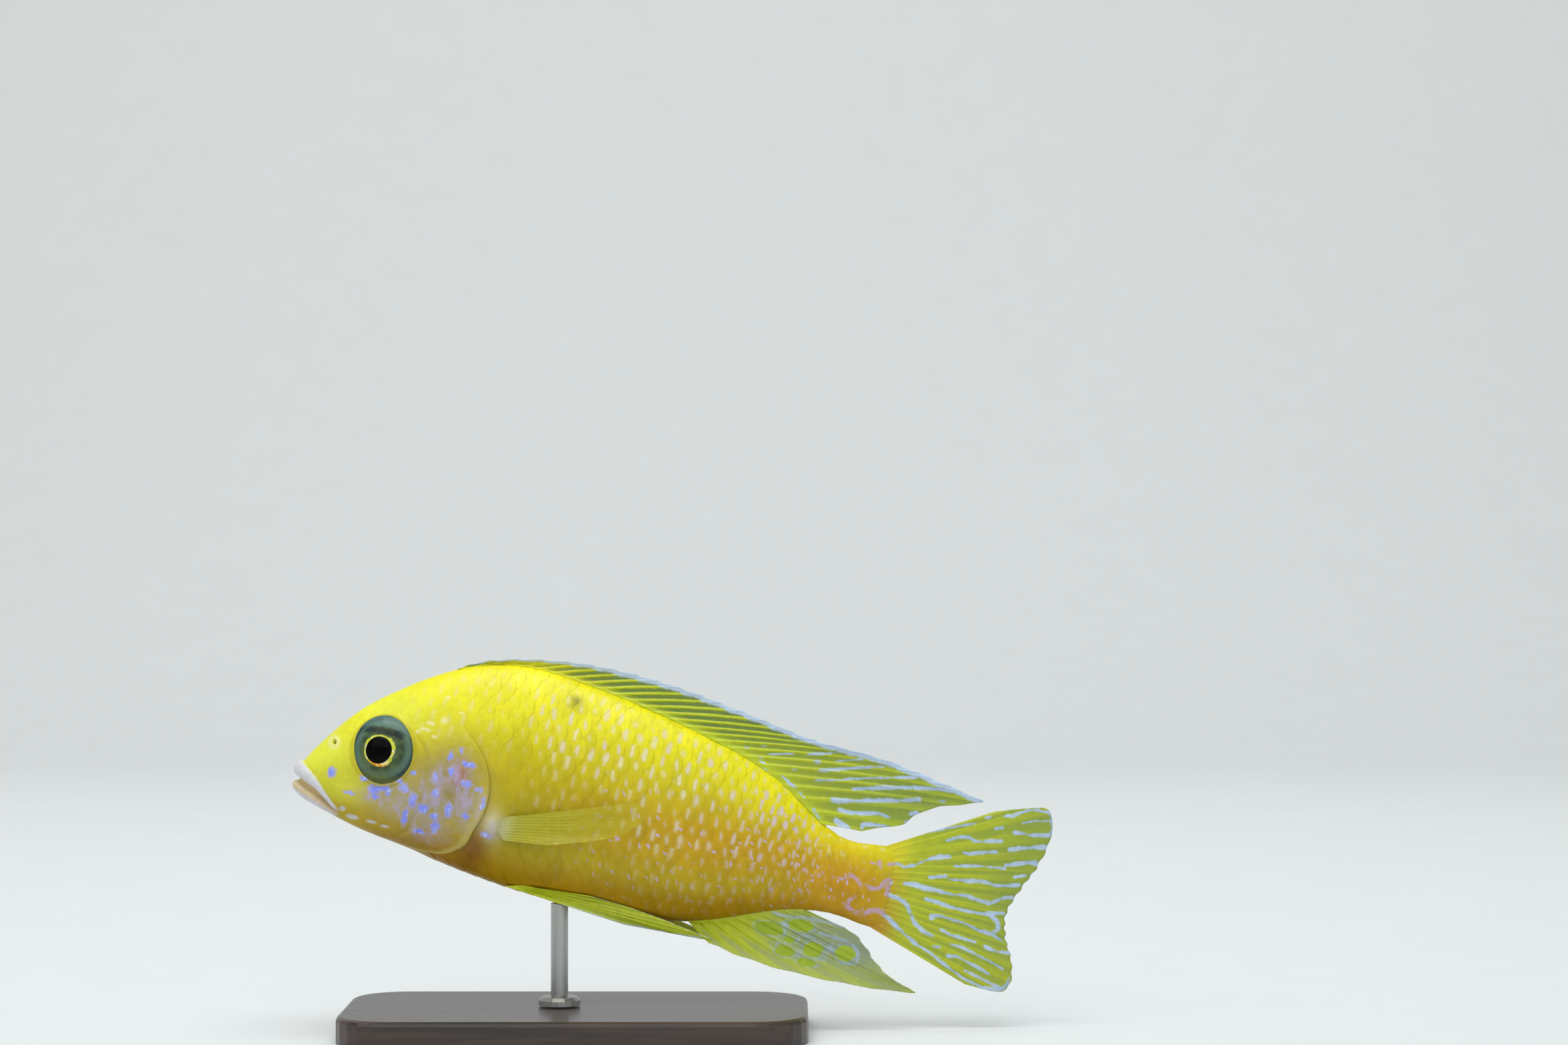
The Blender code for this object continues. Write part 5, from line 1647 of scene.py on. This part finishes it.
def make_eye_rim(word, side):
    """The thin round fold of skin that holds one eye, laid where its ball comes out of the skin."""
    middle, back, up, out = eye_frame()
    angle = np.arange(RIM_AROUND) * 2 * math.pi / RIM_AROUND
    turn = np.arange(RIM_SECTION) * 2 * math.pi / RIM_SECTION
    wide, high = size("eye_rim"), 0.62 * size("eye_rim")
    away = np.cos(angle)[:, None] * back + np.sin(angle)[:, None] * up
    reach = np.full(RIM_AROUND, EYE_SEEN)
    for _ in range(RIM_ROUNDS):
        centre = middle + away * reach[:, None]
        for _ in range(SKIN_ROUNDS):
            short = half_width(centre[:, 0], centre[:, 2]) - size("coat_depth") - centre[:, 1]
            centre = centre + out * (short / out[1])[:, None]
        height = (centre - middle) @ out
        met = EYE_RADIUS * np.sqrt(np.clip(1 - ((height + 0.14) / EYE_HALF_DEPTH) ** 2, 0, 1))
        reach = np.clip((reach + met) / 2, *RIM_REACH)
    section = reach[:, None] + 0.04 + wide * np.cos(turn)
    points = middle + away[:, None] * section[..., None] + out * (height[:, None] + high * np.sin(turn))[..., None]
    points[..., 1] *= side
    faces = ring_faces(RIM_AROUND, RIM_SECTION)
    last = (RIM_AROUND - 1) * RIM_SECTION
    for k in range(RIM_SECTION):
        n = (k + 1) % RIM_SECTION
        faces.append((last + k, k, n, last + n))
    rim = mesh_piece(f"eye_rim_{word}", points.reshape(-1, 3), faces, skin_material())
    face_outwards(rim)
    ground = points.reshape(-1, 3)
    # Darker olive towards the fold's inner half: partly its own colour, partly painted shade of the groove round the
    # eye.
    inner = np.tile(smooth_step(-np.cos(turn), -0.2, 0.8), RIM_AROUND)[:, None]
    colour = blend_in(painted(ground, 0.0), "side", 0.3 + 0.4 * inner, 0.8)
    store_markings(rim, ground, colour, lattice_of(ground, float(side)), np.full(len(ground), 0.3))
    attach(rim, "root")


def finish_node(name, material):
    """Gives a CAD node that is shown a better material."""
    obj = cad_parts[name]
    obj.data.materials.clear()
    obj.data.materials.append(material)


FLOOR_SIZE = 2.4
SWEEP_RISE = (0, 0.1, 1.8)
SWEEP_ROUND = 0.5
CAMERA_AT = (0.01885, -0.6383, 0.08793)
CAMERA_LENS = 85.0


def make_floor():
    """A paper sweep: flat under the model and rising in a round behind it."""
    bpy.ops.object.select_all(action="DESELECT")
    bpy.ops.mesh.primitive_plane_add(size=FLOOR_SIZE, location=(0, 0, 0))
    floor = bpy.context.object
    floor.name = "studio_floor"
    bpy.ops.object.mode_set(mode="EDIT")
    shape = bmesh.from_edit_mesh(floor.data)
    for edge in shape.edges:
        edge.select_set(all(vertex.co.y > 0.45 * FLOOR_SIZE for vertex in edge.verts))
    bmesh.update_edit_mesh(floor.data)
    bpy.ops.mesh.extrude_region_move(TRANSFORM_OT_translate={"value": SWEEP_RISE})
    bpy.ops.object.mode_set(mode="OBJECT")
    modifier = floor.modifiers.new("round", "BEVEL")
    modifier.width = SWEEP_ROUND
    modifier.segments = 16
    modifier.limit_method = "ANGLE"
    modifier.affect = "EDGES"
    bpy.ops.object.modifier_apply(modifier=modifier.name)
    floor.data.polygons.foreach_set("use_smooth", [True] * len(floor.data.polygons))
    floor.data.materials.append(stage_material())


def add_light(name, place, target, size, power, colour):
    light = bpy.data.lights.new(name, "AREA")
    light.shape = "RECTANGLE"
    light.size, light.size_y = size
    light.energy = power
    light.color = colour
    obj = bpy.data.objects.new(name, light)
    bpy.context.collection.objects.link(obj)
    obj.location = place
    obj.rotation_euler = (Vector(target) - Vector(place)).to_track_quat("-Z", "Y").to_euler()
    obj.visible_camera = False


def add_camera():
    camera = bpy.data.cameras.new("camera")
    camera.lens = CAMERA_LENS
    camera.sensor_width = 36.0
    camera.clip_start = 0.01
    obj = bpy.data.objects.new("camera", camera)
    bpy.context.collection.objects.link(obj)
    obj.location = CAMERA_AT
    obj.rotation_euler = (math.pi / 2, 0, 0)
    bpy.context.scene.camera = obj
    bpy.context.scene.view_settings.view_transform = "Standard"


def light_world():
    world = bpy.data.worlds.new("soft_room")
    world.use_nodes = True
    background = world.node_tree.nodes["Background"]
    background.inputs["Color"].default_value = (0.86, 0.92, 1.0, 1.0)
    background.inputs["Strength"].default_value = bpy.context.scene.cichlid_lights.room
    bpy.context.scene.world = world


# The add-on


def length(name, description, default):
    """A length setting, in metres."""
    return bpy.props.FloatProperty(
        name=name, description=description, default=default, min=0.0, precision=5, subtype="DISTANCE", unit="LENGTH"
    )


def tone(name, description, *default):
    """A colour setting, its default as a painter reads it off a screen, 0 to 255."""
    return bpy.props.FloatVectorProperty(
        name=name, description=description, default=srgb(*default), size=3, min=0.0, max=1.0, subtype="COLOR"
    )


def power(name, description, default):
    """A lamp's power setting, in watts."""
    return bpy.props.FloatProperty(name=name, description=description, default=default, min=0.0, unit="POWER")


class CichlidSizes(bpy.types.PropertyGroup):
    """Sizes that a user would change"""

    coat_depth: length("Coat depth", "How far the skin lies under the solids' surface", 0.0002)
    scale_pitch: length("Scale pitch", "Distance between the largest scales of the flank", 0.00255)
    scale_lift: length("Scale lift", "How far a scale's free edge stands off the skin", 0.00013)
    scale_crown: length("Scale crown", "How far the middle of a scale bulges", 0.00006)
    film_thickness: length("Film thickness", "Thickness of the fins between their rays", 0.00026)
    pupil_radius: length("Pupil radius", "Radius of the black pupil", 0.00235)
    eye_rim: length("Eye rim", "Half the width of the fold of skin round the eye", 0.00032)


class CichlidColours(bpy.types.PropertyGroup):
    """Colours of the fish, its stand and the paper under it"""

    back: tone("Back", "Yellow of the back and the nape", 232, 222, 10)
    brow: tone("Brow", "Greener yellow of the snout and the brow", 222, 226, 62)
    flank: tone("Flank", "Gold of the upper flank", 208, 194, 4)
    # Side, belly and throat: partly the fish's own colour, partly painted shade of the light from above.
    side: tone("Side", "Deeper gold of the middle of the side", 192, 172, 2)
    # At the scales' edges this olive is partly painted shadow of their lifted edges.
    shoulder: tone("Shoulder", "Olive shade behind the gill cover and at the scales' edges", 168, 154, 2)
    belly: tone("Belly", "Amber of the belly", 180, 138, 2)
    # Painted shade on the trunk under the gill cover.
    breast_shade: tone("Breast", "Brownish amber under the gill cover", 154, 98, 6)
    throat: tone("Throat", "Orange gold of chin and throat", 156, 122, 6)
    stalk: tone("Tail stalk", "Orange gold of the rear flank and the tail's root", 206, 146, 4)
    cheek: tone("Cheek", "Ground of the cheek", 172, 160, 66)
    gill_cover: tone("Gill cover", "Ground of the gill cover", 146, 132, 84)
    gill_edge: tone("Gill edge", "Pale margin of the gill cover", 204, 190, 110)
    gill_red: tone("Gill red", "Red patch on the gill cover", 176, 84, 70)
    gill_shade: tone("Gill shade", "Brown shade behind the gill cover and in the nostrils", 128, 76, 8)
    lips: tone("Lips", "Lips and jaw pores", 208, 206, 214)
    mouth: tone("Mouth", "Inside of the mouth", 214, 188, 138)
    haze: tone("Haze", "Pinkish cloud of cheek and gill cover", 182, 166, 188)
    streaks: tone("Streaks", "Lilac streaks of cheek and gill cover", 184, 172, 224)
    lilac: tone("Lilac spots", "Deeper lilac of the cheek's spots", 128, 144, 250)
    lilac_light: tone("Light lilac", "Lighter lilac of the cheek's spots", 166, 172, 246)
    # Painted shine of the lilac spots.
    lilac_shine: tone("Spot middle", "Shine in the cheek's spots", 206, 220, 255)
    dash: tone("Dashes", "Pale dashes of the upper flank", 236, 228, 176)
    dash_low: tone("Low dashes", "Pinkish dashes of the flank", 218, 202, 200)
    dash_rear: tone("Rear dashes", "Lilac dashes and flecks towards the tail", 208, 182, 222)
    line: tone("Lines", "Pinkish lilac lines over the tail's root", 190, 150, 180)
    dash_haze: tone("Dash haze", "Soft patch round each dash", 206, 188, 110)
    back_spot: tone("Back spot", "Dark spot under the dorsal fin", 96, 96, 20)
    fins: tone("Fins", "Yellow green of the fins", 198, 210, 10)
    tail: tone("Tail fin", "Yellow green of the tail fin", 180, 190, 16)
    fin_film: tone("Fin film", "Green film between the dorsal rays", 92, 122, 54)
    fin_tips: tone("Fin tips", "Olive film of tail and pelvic fins", 142, 162, 52)
    fin_grey: tone("Fin grey", "Grey green film of the anal fin", 142, 158, 124)
    fin_edge: tone("Fin edge", "Blue white edge of dorsal and tail", 196, 216, 240)
    fin_margin: tone("Fin margin", "Pale edge of anal and pelvic fins", 210, 221, 190)
    fin_streaks: tone("Fin streaks", "Pale blue streaks and nets of the fins", 168, 192, 230)
    fin_base: tone("Fin base", "Pale patch at the pectoral fin's root", 222, 220, 196)
    pectoral: tone("Pectoral fins", "Clear yellow of the pectoral fins", 196, 192, 34)
    eggs: tone("Egg spots", "Egg-shaped spots of the anal fin", 164, 188, 22)
    pupil: tone("Pupil", "Black of the pupil", 2, 2, 3)
    iris: tone("Iris", "Lighter olive of the iris", 88, 108, 70)
    iris_dark: tone("Dark iris", "Darker olive of the iris", 50, 66, 46)
    iris_rim: tone("Iris rim", "Grey teal round the iris", 90, 118, 104)
    iris_top: tone("Iris top", "Pale teal over the dark band", 102, 134, 124)
    # Painted reflection over the pupil.
    iris_band_reflection: tone("Iris band", "Dark band over the pupil", 16, 22, 32)
    # Painted shadow of the groove round the eye.
    iris_groove_shadow: tone("Iris edge", "Dark outer line of the eye", 34, 56, 62)
    iris_low: tone("Iris flecks", "Yellow olive flecks and lower part of the iris", 104, 112, 36)
    ring: tone("Eye ring", "Bright ring round the pupil", 200, 206, 50)
    # Painted glint on the lower part of the ring.
    ring_glint: tone("Low ring", "Orange lower part of the ring", 244, 160, 30)
    base: tone("Base", "Dark moulded plastic of the base", 66, 46, 36)
    base_dark: tone("Dark base", "Grain of the base", 30, 21, 18)
    steel: tone("Steel", "Brushed steel of the rod", 196, 196, 192)
    steel_dark: tone("Dark steel", "Lines in the steel", 150, 150, 148)
    paper: tone("Paper", "Paper under and behind the model", 226, 228, 228)


class CichlidLights(bpy.types.PropertyGroup):
    """How strong the studio's lights are"""

    key: power("Key", "Large soft light from the front left", 4.9)
    fill: power("Fill", "Soft light from the front right", 0.9)
    top: power("Top", "Light from above", 4.2)
    backdrop: power("Backdrop", "Light on the paper behind", 4.0)
    room: bpy.props.FloatProperty(name="Room", description="Brightness of the room", default=0.33, min=0.0)


class CICHLID_OT_skin(bpy.types.Operator):
    """Lays one skin over head, trunk and tail stalk"""

    bl_idname = "cichlid.skin"
    bl_label = "Skin"

    def execute(self, context):
        make_skin()
        return {"FINISHED"}


class CICHLID_OT_scales(bpy.types.Operator):
    """Covers both sides of the trunk with scales"""

    bl_idname = "cichlid.scales"
    bl_label = "Scales"

    def execute(self, context):
        for word, side in (("left", -1), ("right", 1)):
            make_scales(side, word)
        return {"FINISHED"}


class CICHLID_OT_fins(bpy.types.Operator):
    """Makes the dorsal, anal, tail, pectoral and pelvic fins"""

    bl_idname = "cichlid.fins"
    bl_label = "Fins"

    def execute(self, context):
        make_median_fins()
        make_paired_fins()
        return {"FINISHED"}


class CICHLID_OT_eyes(bpy.types.Operator):
    """Sets both eyes"""

    bl_idname = "cichlid.eyes"
    bl_label = "Eyes"

    def execute(self, context):
        for word, side in (("left", -1), ("right", 1)):
            make_eye(word, side)
            make_eye_rim(word, side)
        return {"FINISHED"}


class CICHLID_OT_stand(bpy.types.Operator):
    """Finishes the display stand"""

    bl_idname = "cichlid.stand"
    bl_label = "Stand"

    def execute(self, context):
        finish_node("stand_base", base_material())
        finish_node("stand_rod", rod_material())
        return {"FINISHED"}


class CICHLID_OT_stage(bpy.types.Operator):
    """Sets floor, lights and camera"""

    bl_idname = "cichlid.stage"
    bl_label = "Stage"

    def execute(self, context):
        make_floor()
        light_world()
        lights = context.scene.cichlid_lights
        add_light("key", (-0.3, -0.6, 0.85), (0, 0, 0.05), (1.3, 1.0), lights.key, (1.0, 0.99, 0.96))
        add_light("fill", (0.6, -0.8, 0.2), (0, 0, 0.04), (0.9, 0.6), lights.fill, (0.9, 0.96, 1.0))
        add_light("top", (0.0, -0.12, 0.8), (0, 0, 0.04), (0.7, 0.5), lights.top, (0.92, 0.97, 1.0))
        add_light("backdrop", (0, 0.3, 0.8), (0, 1.2, 0.35), (1.6, 0.3), lights.backdrop, (1.0, 1.0, 1.0))
        add_camera()
        return {"FINISHED"}


class CICHLID_PT_panel(bpy.types.Panel):
    """Lists the pieces in the sidebar"""

    bl_idname = "CICHLID_PT_panel"
    bl_label = "Peacock cichlid"
    bl_space_type = "VIEW_3D"
    bl_region_type = "UI"
    bl_category = "Cichlid"

    def draw(self, context):
        for kind, place in SETTINGS.items():
            for name in kind.__annotations__:
                self.layout.prop(getattr(context.scene, place), name)
        for operator in OPERATORS:
            self.layout.operator(operator.bl_idname)


OPERATORS = (
    CICHLID_OT_skin,
    CICHLID_OT_scales,
    CICHLID_OT_fins,
    CICHLID_OT_eyes,
    CICHLID_OT_stand,
    CICHLID_OT_stage,
)
SETTINGS = {
    CichlidSizes: "cichlid_sizes",
    CichlidColours: "cichlid_colours",
    CichlidLights: "cichlid_lights",
}
CLASSES = (*SETTINGS, *OPERATORS, CICHLID_PT_panel)


def register():
    for kind in CLASSES:
        bpy.utils.register_class(kind)
    for kind, place in SETTINGS.items():
        setattr(bpy.types.Scene, place, bpy.props.PointerProperty(type=kind))


def unregister():
    for place in SETTINGS.values():
        delattr(bpy.types.Scene, place)
    for kind in reversed(CLASSES):
        bpy.utils.unregister_class(kind)


def main():
    register()
    for piece in (
        bpy.ops.cichlid.skin,
        bpy.ops.cichlid.scales,
        bpy.ops.cichlid.fins,
        bpy.ops.cichlid.eyes,
        bpy.ops.cichlid.stand,
        bpy.ops.cichlid.stage,
    ):
        piece()


if __name__ == "__main__":
    main()
